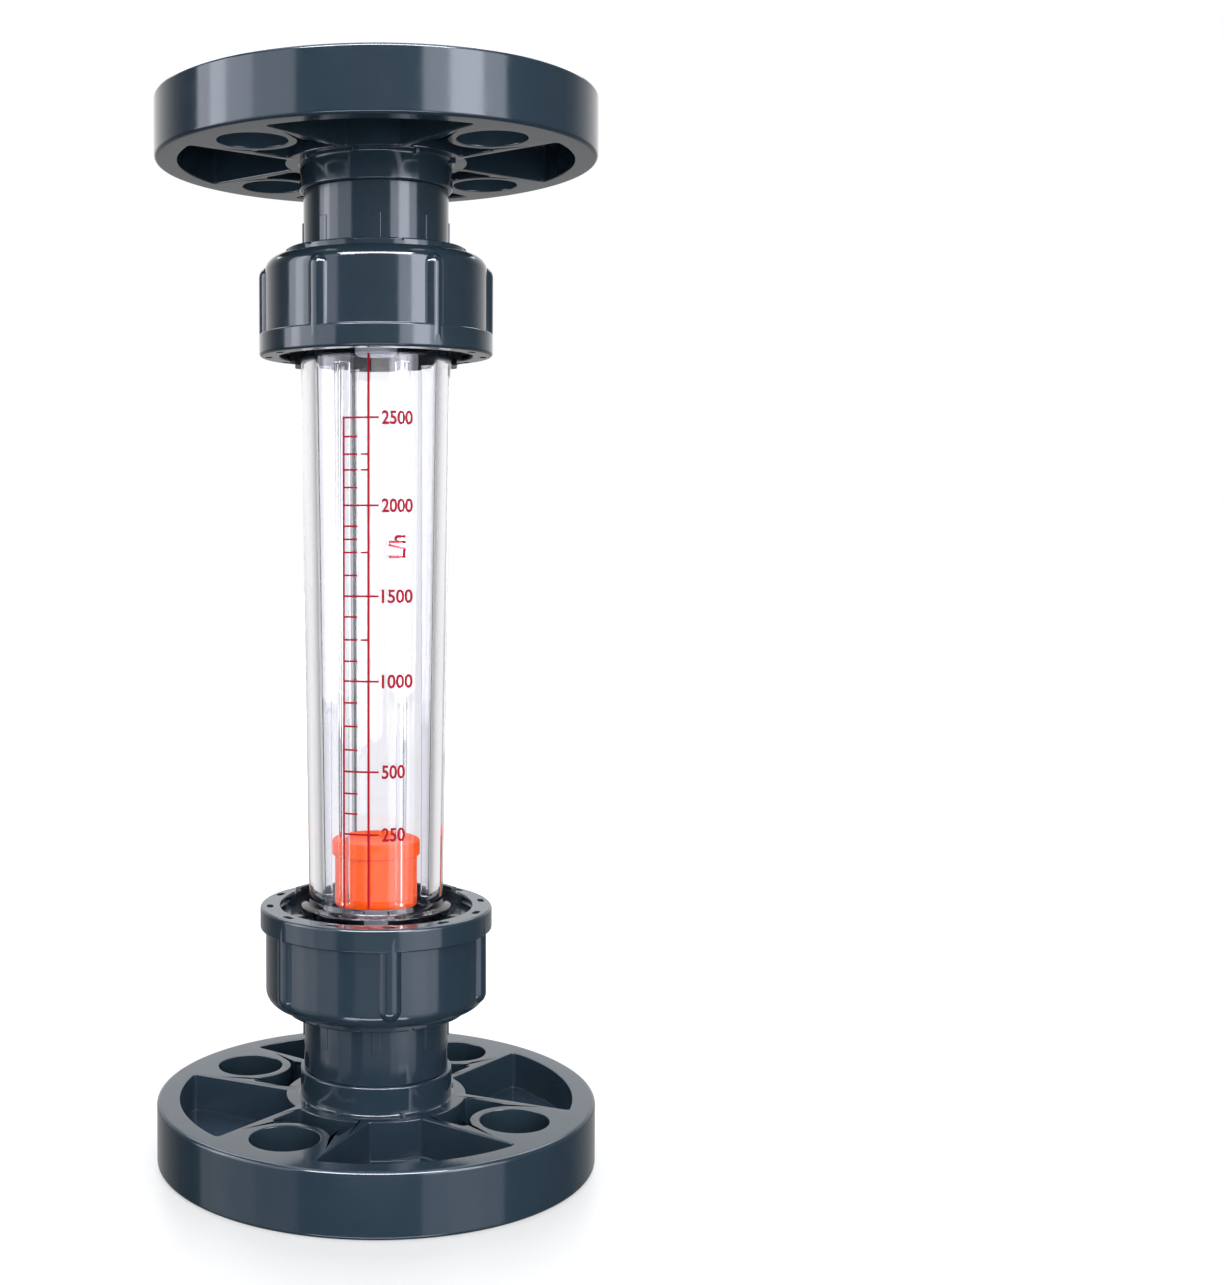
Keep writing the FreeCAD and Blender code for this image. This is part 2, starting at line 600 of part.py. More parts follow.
def make_stop(label, upper, phase):
    ring = cut(label + "_ring",
               drum(label + "_ring_outer", STOP_RADIUS,
                    "%s - %s" % (s("stop_ring_height"), s("seat_gap")), STOP_POCKET_FOOT),
               drum(label + "_ring_inner", STOP_INNER, "%s + 2" % s("stop_ring_height"),
                    "(%s - 1)" % STOP_POCKET_FOOT))
    parts = [ring]
    parts.append(drum(label + "_hub", s("stop_hub_radius"),
                      "%s - %s" % (s("stop_ring_height"), s("seat_gap")), STOP_POCKET_FOOT))
    parts.append(drum(label + "_post", s("stop_post_radius"),
                      "%s - %s" % (BUMPER_FOOT, STOP_POCKET_FOOT), STOP_POCKET_FOOT))
    parts.append(drum(label + "_pin", "(%s / 2)" % s("stop_post_radius"),
                      "%s - %s - 1" % (STOP_TIP, STOP_POCKET_FOOT), STOP_POCKET_FOOT))
    for i in range(SPOKE_COUNT):
        parts.append(turned_block("%s_spoke_%d" % (label, i), "%s - 1" % STOP_INNER,
                                  s("stop_spoke_width"), "%s - 1" % s("stop_ring_height"), "2",
                                  STOP_POCKET_FOOT, 360.0 / SPOKE_COUNT * i))
    finish(fused(label + "_solid", parts), label, upper, phase)


def make_bumper(label, upper):
    pin_radius = "(%s / 2 + 0.05)" % s("stop_post_radius")
    body = turned(label + "_body", [
        (pin_radius, BUMPER_FOOT),
        (s("bumper_radius"), BUMPER_FOOT),
        (s("bumper_radius"), STOP_TIP),
        (pin_radius, STOP_TIP),
    ])
    bevel_circles(body, label + "_bevel", [(s("bumper_radius"), STOP_TIP)], s("bumper_chamfer"))
    finish(body, label, upper, 0.0)


# ---------------------------------------------------------------- tube and float


GUIDE_RIB_COUNT = 6
GUIDE_RIB_FIRST = -4.5


def make_tube(label):
    foot_radius = "(%s - %s)" % (RING_OUTER, s("tube_foot_margin"))
    upper_face = "(%s - %s)" % (SHIFT_UP, SEAL_FACE)
    upper_seat = "(%s - %s)" % (SHIFT_UP, SEAT_TOP)
    low_root = "(%s + %s)" % (SEAT_TOP, s("tube_root_round"))
    corners = [
        (TUBE_BORE_LOW, SEAL_FACE),
        (foot_radius, SEAL_FACE),
        (foot_radius, RING_FOOT),
        (TUBE_SEAT_RADIUS, RING_FOOT),
        (TUBE_SEAT_RADIUS, SEAT_TOP),
        ("(%s + 0.5)" % TUBE_RADIUS_LOW, "(%s + 0.7)" % SEAT_TOP),
        (TUBE_RADIUS_LOW, low_root),
        (TUBE_RADIUS_HIGH, upper_seat),
        (TUBE_SEAT_RADIUS, upper_seat),
        (TUBE_SEAT_RADIUS, "(%s - %s)" % (SHIFT_UP, RING_FOOT)),
        (foot_radius, "(%s - %s)" % (SHIFT_UP, RING_FOOT)),
        (foot_radius, upper_face),
        (TUBE_BORE_HIGH, upper_face),
        (TUBE_BORE_HIGH, "(%s - %s)" % (SHIFT_UP, NUT_TOP)),
        (TUBE_BORE_LOW, NUT_TOP),
    ]
    body = turned(label + "_body", corners)
    rib_foot = "(%s + %s)" % (NUT_TOP, s("guide_rib_inset"))
    rib_height = "(%s - 2 * %s)" % (SHIFT_UP, rib_foot)
    ribs = []
    for i in range(GUIDE_RIB_COUNT):
        ribs.append(turned_block("%s_rib_%d" % (label, i),
                                 "(%s + 1.5 - %s)" % (TUBE_BORE_HIGH, GUIDE_RADIUS),
                                 s("guide_rib_width"), rib_height, GUIDE_RADIUS, rib_foot,
                                 GUIDE_RIB_FIRST + 360.0 / GUIDE_RIB_COUNT * i))
    finish(fused(label + "_solid", [body] + ribs), label)


def make_float():
    foot = NUT_TOP
    top = "(%s + %s)" % (foot, s("float_height"))
    band_foot = "(%s - %s)" % (top, s("float_band_height"))
    cavity_radius = "(%s - %s)" % (s("float_radius"), s("float_wall"))
    cavity_foot = "(%s + %s)" % (foot, s("float_wall"))
    plug_foot = "(%s - %s)" % (band_foot, s("float_plug_depth"))
    shell = turned("float_body_shell", [
        ("0", foot),
        ("(%s - %s)" % (s("float_radius"), s("float_chamfer")), foot),
        (s("float_radius"), "(%s + %s)" % (foot, s("float_chamfer"))),
        (s("float_radius"), band_foot),
        (cavity_radius, band_foot),
        (cavity_radius, cavity_foot),
        ("0", cavity_foot),
    ])
    finish(shell, "float_body")
    dish_radius = "(%s - %s)" % (s("float_band_radius"), s("float_rim_width"))
    edge = s("float_edge_chamfer")
    plug_radius = "(%s - %s)" % (cavity_radius, s("seat_gap"))
    cap = turned("float_cap_disc", [
        ("0", plug_foot),
        (plug_radius, plug_foot),
        (plug_radius, band_foot),
        (s("float_band_radius"), band_foot),
        (s("float_band_radius"), "(%s - %s)" % (top, edge)),
        ("(%s - %s)" % (s("float_band_radius"), edge), top),
        (dish_radius, top),
        ("(%s - 0.6)" % dish_radius, "(%s - %s)" % (top, s("float_dish_depth"))),
        ("0", "(%s - %s)" % (top, s("float_dish_depth"))),
    ])
    finish(cap, "float_cap")
    weight = turned("float_weight_slug", [
        ("0", cavity_foot),
        ("(%s - 0.6)" % plug_radius, cavity_foot),
        (plug_radius, "(%s + 0.6)" % cavity_foot),
        (plug_radius, plug_foot),
        ("0", plug_foot),
    ])
    finish(weight, "float_weight")


BOTTOM_FLANGE_PHASE = -32.7
TOP_FLANGE_PHASE = 46.9
BOTTOM_NUT_PHASE = -23.0
TOP_NUT_PHASE = 0.0
BOTTOM_NECK_PHASE = 0.0
TOP_NECK_PHASE = 0.0

make_flange("bottom_flange", False, BOTTOM_FLANGE_PHASE)
make_flange("top_flange", True, TOP_FLANGE_PHASE)
make_union_end("bottom_union_end", False, BOTTOM_NECK_PHASE)
make_union_end("top_union_end", True, TOP_NECK_PHASE)
make_nut("bottom_union_nut", False, BOTTOM_NUT_PHASE)
make_nut("top_union_nut", True, TOP_NUT_PHASE)
make_ring_half("bottom_thread_ring_front", False, True)
make_ring_half("bottom_thread_ring_back", False, False)
make_ring_half("top_thread_ring_front", True, True)
make_ring_half("top_thread_ring_back", True, False)
make_seal("bottom_seal_ring", False)
make_seal("top_seal_ring", True)
make_stop("bottom_float_stop", False, 45.0)
make_stop("top_float_stop", True, 45.0)
make_bumper("bottom_stop_bumper", False)
make_bumper("top_stop_bumper", True)
make_tube("metering_tube")
make_float()

doc.recompute()

problems = []
for obj in doc.Objects:
    if "Invalid" in obj.State or "Error" in obj.State:
        problems.append("%s %s" % (obj.Name, obj.State))
for obj in FINISHED:
    if obj.Shape.isNull() or not obj.Shape.isValid() or len(obj.Shape.Solids) != 1:
        problems.append("%s shape, %d solids" % (obj.Label, len(obj.Shape.Solids)))
if problems:
    raise RuntimeError("; ".join(problems))

os.makedirs("parts", exist_ok=True)
for obj in FINISHED:
    obj.Shape.exportStep("parts/%s.step" % obj.Label)
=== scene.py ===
import math
import bpy
import bmesh
from mathutils import Matrix, Vector


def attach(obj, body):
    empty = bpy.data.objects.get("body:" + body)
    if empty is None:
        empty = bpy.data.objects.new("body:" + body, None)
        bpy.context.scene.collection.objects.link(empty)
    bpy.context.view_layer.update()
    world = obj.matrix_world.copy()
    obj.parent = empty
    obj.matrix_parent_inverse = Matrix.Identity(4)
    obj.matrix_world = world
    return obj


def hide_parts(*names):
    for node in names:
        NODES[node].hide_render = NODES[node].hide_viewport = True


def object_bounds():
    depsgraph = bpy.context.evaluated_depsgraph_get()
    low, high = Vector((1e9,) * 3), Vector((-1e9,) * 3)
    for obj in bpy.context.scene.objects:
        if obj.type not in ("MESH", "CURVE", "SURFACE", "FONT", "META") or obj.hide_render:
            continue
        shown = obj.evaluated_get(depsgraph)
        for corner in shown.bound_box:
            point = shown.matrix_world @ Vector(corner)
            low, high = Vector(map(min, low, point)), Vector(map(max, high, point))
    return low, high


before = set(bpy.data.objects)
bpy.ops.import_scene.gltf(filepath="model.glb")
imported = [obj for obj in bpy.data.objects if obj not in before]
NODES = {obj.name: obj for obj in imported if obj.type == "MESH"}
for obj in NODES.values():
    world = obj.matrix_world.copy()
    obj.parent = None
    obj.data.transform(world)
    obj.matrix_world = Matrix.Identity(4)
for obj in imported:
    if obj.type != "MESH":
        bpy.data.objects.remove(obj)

CAD_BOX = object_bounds()

# ------------------------------------------------------------------ sizes, metres

MM = 0.001
HEIGHT = round(CAD_BOX[1][2], 6)

# modelling: welding distances, how nearly level or upright a face is, and the smallest rounding
WELD = 1e-6
FINE_WELD = 1e-7
FIGURE_WELD = 1e-5
SAME_LEVEL = 1e-5
LEVEL_FACE = 0.9
UPRIGHT_FACE = 0.35
SMOOTH_BELOW = 32.0
SMALL_ROUND = 0.25 * MM


def mm(*values):
    """Millimetres as metres."""
    return [value * MM for value in values]


# ------------------------------------------------------------------ modelling by hand


def deselect_all():
    """Leaves nothing selected and no object in edit mode."""
    if bpy.context.object and bpy.context.object.mode != "OBJECT":
        bpy.ops.object.mode_set(mode="OBJECT")
    bpy.ops.object.select_all(action="DESELECT")


def take(piece):
    """Makes a piece the only selected and active object."""
    deselect_all()
    piece.select_set(True)
    bpy.context.view_layer.objects.active = piece


def settle(piece):
    """Puts a finished piece's place into its mesh."""
    take(piece)
    bpy.ops.object.transform_apply(location=True, rotation=True, scale=True)


def draw_chain(name, corners, close=False):
    """A run of edges through points, drawn by extruding one vertex from each to the next."""
    deselect_all()
    bpy.ops.mesh.primitive_plane_add(size=MM, location=corners[0])
    piece = bpy.context.object
    piece.name = name
    bpy.ops.object.transform_apply(location=True, rotation=True, scale=True)
    bpy.ops.object.mode_set(mode="EDIT")
    bpy.ops.mesh.select_mode(type="VERT")
    bpy.ops.mesh.select_all(action="SELECT")
    bpy.ops.mesh.merge(type="CENTER")
    here = Vector(corners[0])
    for corner in corners[1:]:
        step = Vector(corner) - here
        bpy.ops.mesh.extrude_region_move(TRANSFORM_OT_translate={"value": step})
        here = Vector(corner)
    if close:
        bpy.ops.mesh.select_all(action="SELECT")
        bpy.ops.mesh.edge_face_add()
    bpy.ops.object.mode_set(mode="OBJECT")
    return piece


def lathe(name, section, steps=160):
    """Turns a closed section of (radius, height) points about the Z axis."""
    corners = [(radius, 0.0, height) for radius, height in section]
    corners.append(corners[0])
    piece = draw_chain(name, corners)
    take(piece)
    bpy.ops.object.mode_set(mode="EDIT")
    bpy.ops.mesh.select_all(action="SELECT")
    bpy.ops.mesh.remove_doubles(threshold=FINE_WELD)
    bpy.ops.mesh.select_all(action="SELECT")
    bpy.ops.mesh.spin(steps=steps, angle=2 * math.pi, center=(0, 0, 0), axis=(0, 0, 1))
    bpy.ops.mesh.select_all(action="SELECT")
    bpy.ops.mesh.remove_doubles(threshold=WELD)
    bpy.ops.mesh.normals_make_consistent(inside=False)
    bpy.ops.object.mode_set(mode="OBJECT")
    return piece


def smooth(piece):
    """Smooth shading with sharp edges kept, and large flat faces kept flat up to their bevels."""
    take(piece)
    bpy.ops.object.shade_smooth_by_angle(angle=math.radians(SMOOTH_BELOW))
    even = piece.modifiers.new("even_faces", "WEIGHTED_NORMAL")
    even.keep_sharp = True
    bpy.ops.object.modifier_apply(modifier=even.name)


def extruded(name, outline, low, high):
    """Upright prism over a closed plan outline of (x, y) points."""
    piece = draw_chain(name, [(x, y, low) for x, y in outline], close=True)
    take(piece)
    bpy.ops.object.mode_set(mode="EDIT")
    bpy.ops.mesh.select_all(action="SELECT")
    bpy.ops.mesh.extrude_region_move(TRANSFORM_OT_translate={"value": (0, 0, high - low)})
    bpy.ops.mesh.select_all(action="SELECT")
    bpy.ops.mesh.normals_make_consistent(inside=False)
    bpy.ops.object.mode_set(mode="OBJECT")
    return piece


def rounded(section, radii, steps=4):
    """Section with some corners rounded; radii is {corner number: radius}, the rest stay sharp."""
    result = []
    count = len(section)
    for i, corner in enumerate(section):
        radius = radii.get(i, 0.0)
        here = Vector(corner)
        if radius <= 0:
            result.append((here.x, here.y))
            continue
        back = (Vector(section[i - 1]) - here).normalized()
        ahead = (Vector(section[(i + 1) % count]) - here).normalized()
        half = back.angle(ahead) / 2
        reach = radius / math.tan(half)
        middle = here + (back + ahead).normalized() * (radius / math.sin(half))
        start = here + back * reach - middle
        end = here + ahead * reach - middle
        sweep = start.angle_signed(end)
        for step in range(steps + 1):
            turn = Matrix.Rotation(-sweep * step / steps, 2)
            point = middle + turn @ start
            result.append((point.x, point.y))
    return result


def arc(radius, first, last, steps):
    """Plan points along an arc about the Z axis, angles in degrees."""
    points = []
    for step in range(steps + 1):
        angle = math.radians(first + (last - first) * step / steps)
        points.append((radius * math.cos(angle), radius * math.sin(angle)))
    return points


def boolean(piece, tool, operation):
    """Applies a boolean with another piece, which is then removed."""
    take(piece)
    modifier = piece.modifiers.new("cut", "BOOLEAN")
    modifier.operation = operation
    modifier.solver = "EXACT"
    modifier.object = tool
    bpy.ops.object.modifier_apply(modifier=modifier.name)
    bpy.data.objects.remove(tool, do_unlink=True)


def copy_turned(piece, name, degrees):
    """A copy with its own mesh, turned about Z."""
    twin = piece.copy()
    twin.data = piece.data.copy()
    twin.name = name
    bpy.context.collection.objects.link(twin)
    twin.matrix_world = Matrix.Rotation(math.radians(degrees), 4, "Z") @ piece.matrix_world
    settle(twin)
    return twin


def turn_about_axis(piece, degrees):
    """Turns a settled piece about Z, with the turn put into its mesh."""
    piece.matrix_world = Matrix.Rotation(math.radians(degrees), 4, "Z")
    settle(piece)


def repeat_round(piece, tool, operation, first, count):
    """Adds or cuts a tool drawn at +X, count times evenly round the axis, and removes it."""
    for i in range(count):
        boolean(piece, copy_turned(tool, "round_copy", first + 360.0 / count * i), operation)
    bpy.data.objects.remove(tool, do_unlink=True)


def joined(name, pieces):
    """Joins pieces into the first one."""
    take(pieces[0])
    for piece in pieces:
        piece.select_set(True)
    bpy.ops.object.join()
    result = bpy.context.object
    result.name = name
    return result


def flipped_to_top(piece):
    """Turns a piece drawn for the lower end over to the upper end."""
    turn = Matrix.Rotation(math.pi, 4, "X")
    piece.matrix_world = Matrix.Translation((0, 0, HEIGHT)) @ turn @ piece.matrix_world
    settle(piece)


def merge_close(piece, distance=WELD):
    """Welds points that lie closer than a distance."""
    take(piece)
    bpy.ops.object.mode_set(mode="EDIT")
    bpy.ops.mesh.select_all(action="SELECT")
    bpy.ops.mesh.remove_doubles(threshold=distance)
    bpy.ops.object.mode_set(mode="OBJECT")


def select_edges(piece, wanted):
    """In edit mode, selects only the edges that wanted(edge) accepts."""
    bpy.ops.mesh.select_mode(type="EDGE")
    bpy.ops.mesh.select_all(action="DESELECT")
    mesh = bmesh.from_edit_mesh(piece.data)
    for edge in mesh.edges:
        if wanted(edge):
            edge.select_set(True)
    mesh.select_flush_mode()
    bmesh.update_edit_mesh(piece.data)


def bevel_where(piece, wanted, width, segments=2):
    """Rounds the edges that wanted(edge) accepts."""
    take(piece)
    bpy.ops.object.mode_set(mode="EDIT")
    select_edges(piece, wanted)
    bpy.ops.mesh.bevel(offset=width, segments=segments, affect="EDGES", clamp_overlap=False)
    bpy.ops.object.mode_set(mode="OBJECT")


def at_height(edge, height):
    """True for an edge that lies level at a height."""
    return all(abs(corner.co.z - height) < SAME_LEVEL for corner in edge.verts)


def reach_of(edge):
    """Distance of an edge's first end from the axis."""
    return edge.verts[0].co.xy.length


def between_top_and_wall(edge, up=1.0):
    """True for a sharp edge where a face that looks up (or down) meets an upright one."""
    if len(edge.link_faces) != 2:
        return False
    heights = sorted(face.normal.z * up for face in edge.link_faces)
    return heights[1] > LEVEL_FACE and heights[0] < UPRIGHT_FACE


def small_block(reach, height, size, degrees):
    """Small block with rounded edges, at a reach from the axis, then turned about Z."""
    deselect_all()
    bpy.ops.mesh.primitive_cube_add(size=1, location=(reach, 0, height), scale=size)
    block = bpy.context.object
    settle(block)
    bevel_where(block, lambda edge: True, SMALL_ROUND)
    turn_about_axis(block, degrees)
    return block


def to_its_end(piece, phase, upper):
    """Turns a lower-end piece to its phase in degrees, takes it to the upper end, and smooths it."""
    turn_about_axis(piece, phase)
    if upper:
        flipped_to_top(piece)
    smooth(piece)
    return piece


def paint(piece, material):
    """Gives a piece its one material."""
    piece.data.materials.clear()
    piece.data.materials.append(material)


# ------------------------------------------------------------------ materials

NOISE_SPAN = (0.3, 0.7)
SMEAR_PER_WAVE = 3.1


def new_group(name, inputs, outputs):
    """Shader node group with named number inputs and outputs."""
    group = bpy.data.node_groups.new(name, "ShaderNodeTree")
    for label, value in inputs:
        socket = group.interface.new_socket(label, in_out="INPUT", socket_type="NodeSocketFloat")
        socket.default_value = value
    for label in outputs:
        group.interface.new_socket(label, in_out="OUTPUT", socket_type="NodeSocketFloat")
    start = group.nodes.new("NodeGroupInput")
    end = group.nodes.new("NodeGroupOutput")
    return group, start, end


def math_node(tree, operation, first, second):
    """Math node fed by sockets or plain numbers; gives its output socket."""
    node = tree.nodes.new("ShaderNodeMath")
    node.operation = operation
    for socket, value in zip(node.inputs, (first, second)):
        if isinstance(value, bpy.types.NodeSocket):
            tree.links.new(value, socket)
        else:
            socket.default_value = value
    return node.outputs[0]


def noise_node(tree, place, scale, detail, roughness=0.5):
    """Noise texture at a place, with its scale fed by a socket."""
    node = tree.nodes.new("ShaderNodeTexNoise")
    node.inputs["Detail"].default_value = detail
    node.inputs["Roughness"].default_value = roughness
    tree.links.new(place, node.inputs["Vector"])
    tree.links.new(scale, node.inputs["Scale"])
    return node.outputs["Fac"]


def map_range(tree, value, source, target, interpolation="LINEAR"):
    """Map Range node from one (low, high) span to another; gives its output socket."""
    node = tree.nodes.new("ShaderNodeMapRange")
    node.interpolation_type = interpolation
    tree.links.new(value, node.inputs["Value"])
    for end, low_high in (("From", source), ("To", target)):
        node.inputs[end + " Min"].default_value = low_high[0]
        node.inputs[end + " Max"].default_value = low_high[1]
    return node.outputs["Result"]


def blend_color(tree, factor, dark, light):
    """Colour mix from dark to light."""
    node = tree.nodes.new("ShaderNodeMix")
    node.data_type = "RGBA"
    tree.links.new(factor, node.inputs["Factor"])
    node.inputs[6].default_value = (*dark, 1)
    node.inputs[7].default_value = (*light, 1)
    return node.outputs[2]


def build_moulded_skin():
    """Moulded plastic: soft sink waves, a fine die texture and uneven gloss."""
    group, start, end = new_group(
        "moulded_skin",
        [("Wave Scale", 60.0), ("Grain Scale", 2600.0), ("Wave Depth", 0.5), ("Grain Depth", 0.5)],
        ["Height", "Tone", "Gloss"])
    place = group.nodes.new("ShaderNodeTexCoord").outputs["Object"]
    wave = noise_node(group, place, start.outputs["Wave Scale"], 2.0)
    grain = noise_node(group, place, start.outputs["Grain Scale"], 3.0)
    smear_scale = math_node(group, "MULTIPLY", start.outputs["Wave Scale"], SMEAR_PER_WAVE)
    smear = noise_node(group, place, smear_scale, 5.0, 0.62)
    deep = math_node(group, "MULTIPLY", wave, start.outputs["Wave Depth"])
    fine = math_node(group, "MULTIPLY", grain, start.outputs["Grain Depth"])
    group.links.new(math_node(group, "ADD", deep, fine), end.inputs["Height"])
    tone = math_node(group, "ADD", math_node(group, "MULTIPLY", smear, 0.7),
                     math_node(group, "MULTIPLY", grain, 0.3))
    group.links.new(tone, end.inputs["Tone"])
    group.links.new(smear, end.inputs["Gloss"])
    return group


MOULDED_SKIN = build_moulded_skin()


def shader_with_skin(material, gloss, depth, strength, **skin_values):
    """Feeds a material's shader with the moulded skin; gives the tree, the shader and the skin."""
    material.use_nodes = True
    tree = material.node_tree
    shader = tree.nodes["Principled BSDF"]
    skin = tree.nodes.new("ShaderNodeGroup")
    skin.node_tree = MOULDED_SKIN
    for label, value in skin_values.items():
        skin.inputs[label.replace("_", " ")].default_value = value
    tree.links.new(map_range(tree, skin.outputs["Gloss"], NOISE_SPAN, gloss), shader.inputs["Roughness"])
    relief = tree.nodes.new("ShaderNodeBump")
    relief.inputs["Distance"].default_value = depth
    relief.inputs["Strength"].default_value = strength
    tree.links.new(skin.outputs["Height"], relief.inputs["Height"])
    tree.links.new(relief.outputs["Normal"], shader.inputs["Normal"])
    return tree, shader, skin


def moulded(name, dark, light, gloss, depth, **sockets):
    """Moulded plastic, rubber or metal; gloss is the roughness range, depth the relief in metres."""
    material = bpy.data.materials.new(name)
    tree, shader, skin = shader_with_skin(material, gloss, depth, 0.6)
    for socket, value in sockets.items():
        shader.inputs[socket.replace("_", " ")].default_value = value
    color = blend_color(tree, skin.outputs["Tone"], dark, light)
    tree.links.new(color, shader.inputs["Base Color"])
    return material


def clear_material():
    """Clear moulded tube, nearly polished."""
    material = bpy.data.materials.new("clear_tube")
    shader = shader_with_skin(material, (0.0, 0.03), 0.02 * MM, 0.3, Wave_Scale=25.0, Grain_Depth=0.02)[1]
    shader.inputs["Base Color"].default_value = (0.91, 0.91, 0.935, 1)
    shader.inputs["IOR"].default_value = 1.49
    shader.inputs["Transmission Weight"].default_value = 1.0
    return material


grey_upvc = moulded("grey_upvc", (0.0245, 0.0440, 0.0640), (0.0315, 0.0555, 0.0790),
                    (0.08, 0.15), 0.012 * MM)
dark_upvc = moulded("dark_upvc", (0.012, 0.017, 0.024), (0.020, 0.027, 0.036), (0.12, 0.22), 0.03 * MM)
silicone = moulded("pale_silicone", (0.42, 0.44, 0.47), (0.5, 0.52, 0.55), (0.4, 0.55), 0.03 * MM)
rubber = moulded("black_rubber", (0.008, 0.008, 0.008), (0.02, 0.02, 0.02), (0.5, 0.7), 0.04 * MM)
stop_plastic = moulded("stop_plastic", (0.42, 0.43, 0.46), (0.5, 0.51, 0.54), (0.3, 0.45), 0.03 * MM)
steel = moulded("ballast_steel", (0.4, 0.4, 0.42), (0.55, 0.55, 0.57), (0.25, 0.4), 0.02 * MM,
                Metallic=1.0)
# painted glow: the orange float carries a faint orange emission, so it shines though it is no lamp
orange_painted_glow = moulded("orange_float", (0.52, 0.040, 0.0005), (0.62, 0.065, 0.001), (0.35, 0.45), 0.03 * MM,
                 Specular_IOR_Level=0.08, Emission_Color=(1.0, 0.11, 0.0, 1), Emission_Strength=0.24)
red_print = moulded("red_print", (0.4, 0.001, 0.014), (0.5, 0.003, 0.022), (0.5, 0.65), 0.01 * MM,
                    Specular_IOR_Level=0.1)
clear = clear_material()

# finish of each CAD node, by a word in its name
NODE_FINISH = {
    "flange": grey_upvc, "union_end": grey_upvc, "nut": grey_upvc, "thread_ring": dark_upvc,
    "seal": rubber, "bumper": silicone, "float_stop": stop_plastic, "float_body": orange_painted_glow,
    "float_cap": orange_painted_glow, "float_weight": steel, "metering_tube": clear,
}
for node_name, node in NODES.items():
    for key, finish in NODE_FINISH.items():
        if key in node_name:
            paint(node, finish)


def place_piece(piece, body, slot, material, *nodes):
    """Finishes a piece: material, body and the CAD nodes that it stands for; slot is not used."""
    paint(piece, material)
    if nodes:
        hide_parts(*nodes)
    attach(piece, body)


# ------------------------------------------------------------------ flanges

BORE_R = 12.5 * MM
FLANGE_R = 62.5 * MM
FLANGE_THICK = 17.5 * MM
PLATE = 7.0 * MM
HUB_R = 21.65 * MM
HUB_TOP = 25.5 * MM
SPIGOT_R = 17.0 * MM
SPIGOT_TOP = 38.0 * MM
BOLT_COUNT = 4
BOLT_R = 45.0 * MM
HOLE_R = 9.5 * MM
BOSS_R = 12.2 * MM
POCKET_INNER = 25.8 * MM
POCKET_OUTER = 56.0 * MM
LARGE_POCKET_HALF = mm(7.27, 26.7)
SMALL_POCKET_HALF = mm(9.85, 11.65)
POCKET_CORNER = 0.9 * MM
POCKET_FLOOR_EDGE = 0.5 * MM
POCKET_EDGE = 0.45 * MM
BACK_EDGE = 0.5 * MM
THROUGH = 2.0 * MM
NUB_SIZE = mm(1.9, 1.3, 1.5)
NUB_OUT, NUB_UP = mm(0.5, 0.1)
NUB_ANGLES = (-61.0, -28.0, 19.5, 59.0, 105.0, 150.0, 195.0, 240.0)
BOTTOM_FLANGE_PHASE = -32.7
TOP_FLANGE_PHASE = 46.9


def pocket_tool(name, far, near):
    """Cutter for a blind pocket between two arcs, with rounded upright corners and floor."""
    ends = (0, len(far) - 1, len(far), len(far) + len(near) - 1)
    outline = rounded(far + near, {end: POCKET_CORNER for end in ends}, 3)
    tool = extruded(name, outline, PLATE, FLANGE_THICK + 2 * THROUGH)
    bevel_where(tool, lambda edge: at_height(edge, PLATE), POCKET_FLOOR_EDGE)
    return tool


def large_pocket():
    """Between two bosses, symmetric about +X."""
    foot = math.degrees(math.asin(LARGE_POCKET_HALF[0] / POCKET_INNER))
    tip = math.degrees(math.asin(LARGE_POCKET_HALF[1] / POCKET_OUTER))
    return pocket_tool("large_pocket", arc(POCKET_OUTER, -tip, tip, 40), arc(POCKET_INNER, foot, -foot, 14))


def small_pocket():
    """Between the hub and one boss, symmetric about +X."""
    foot = math.degrees(math.asin(SMALL_POCKET_HALF[0] / POCKET_INNER))
    tip = math.degrees(math.asin(SMALL_POCKET_HALF[1] / BOSS_R))
    far = [(BOLT_R - x, y) for x, y in arc(BOSS_R, -tip, tip, 20)]
    return pocket_tool("small_pocket", far, arc(POCKET_INNER, foot, -foot, 16))


def bolt_hole():
    """Cutter for a bolt hole at +X."""
    outline = [(BOLT_R + x, y) for x, y in arc(HOLE_R, 0, 354, 59)]
    return extruded("bolt_hole", outline, -THROUGH, FLANGE_THICK + THROUGH)


def hub_nubs(phase):
    """Small ejector nubs where the hub meets the flange's inner face."""
    return [small_block(HUB_R + NUB_OUT, FLANGE_THICK + NUB_UP, NUB_SIZE, angle - 90.0 - phase)
            for angle in NUB_ANGLES]


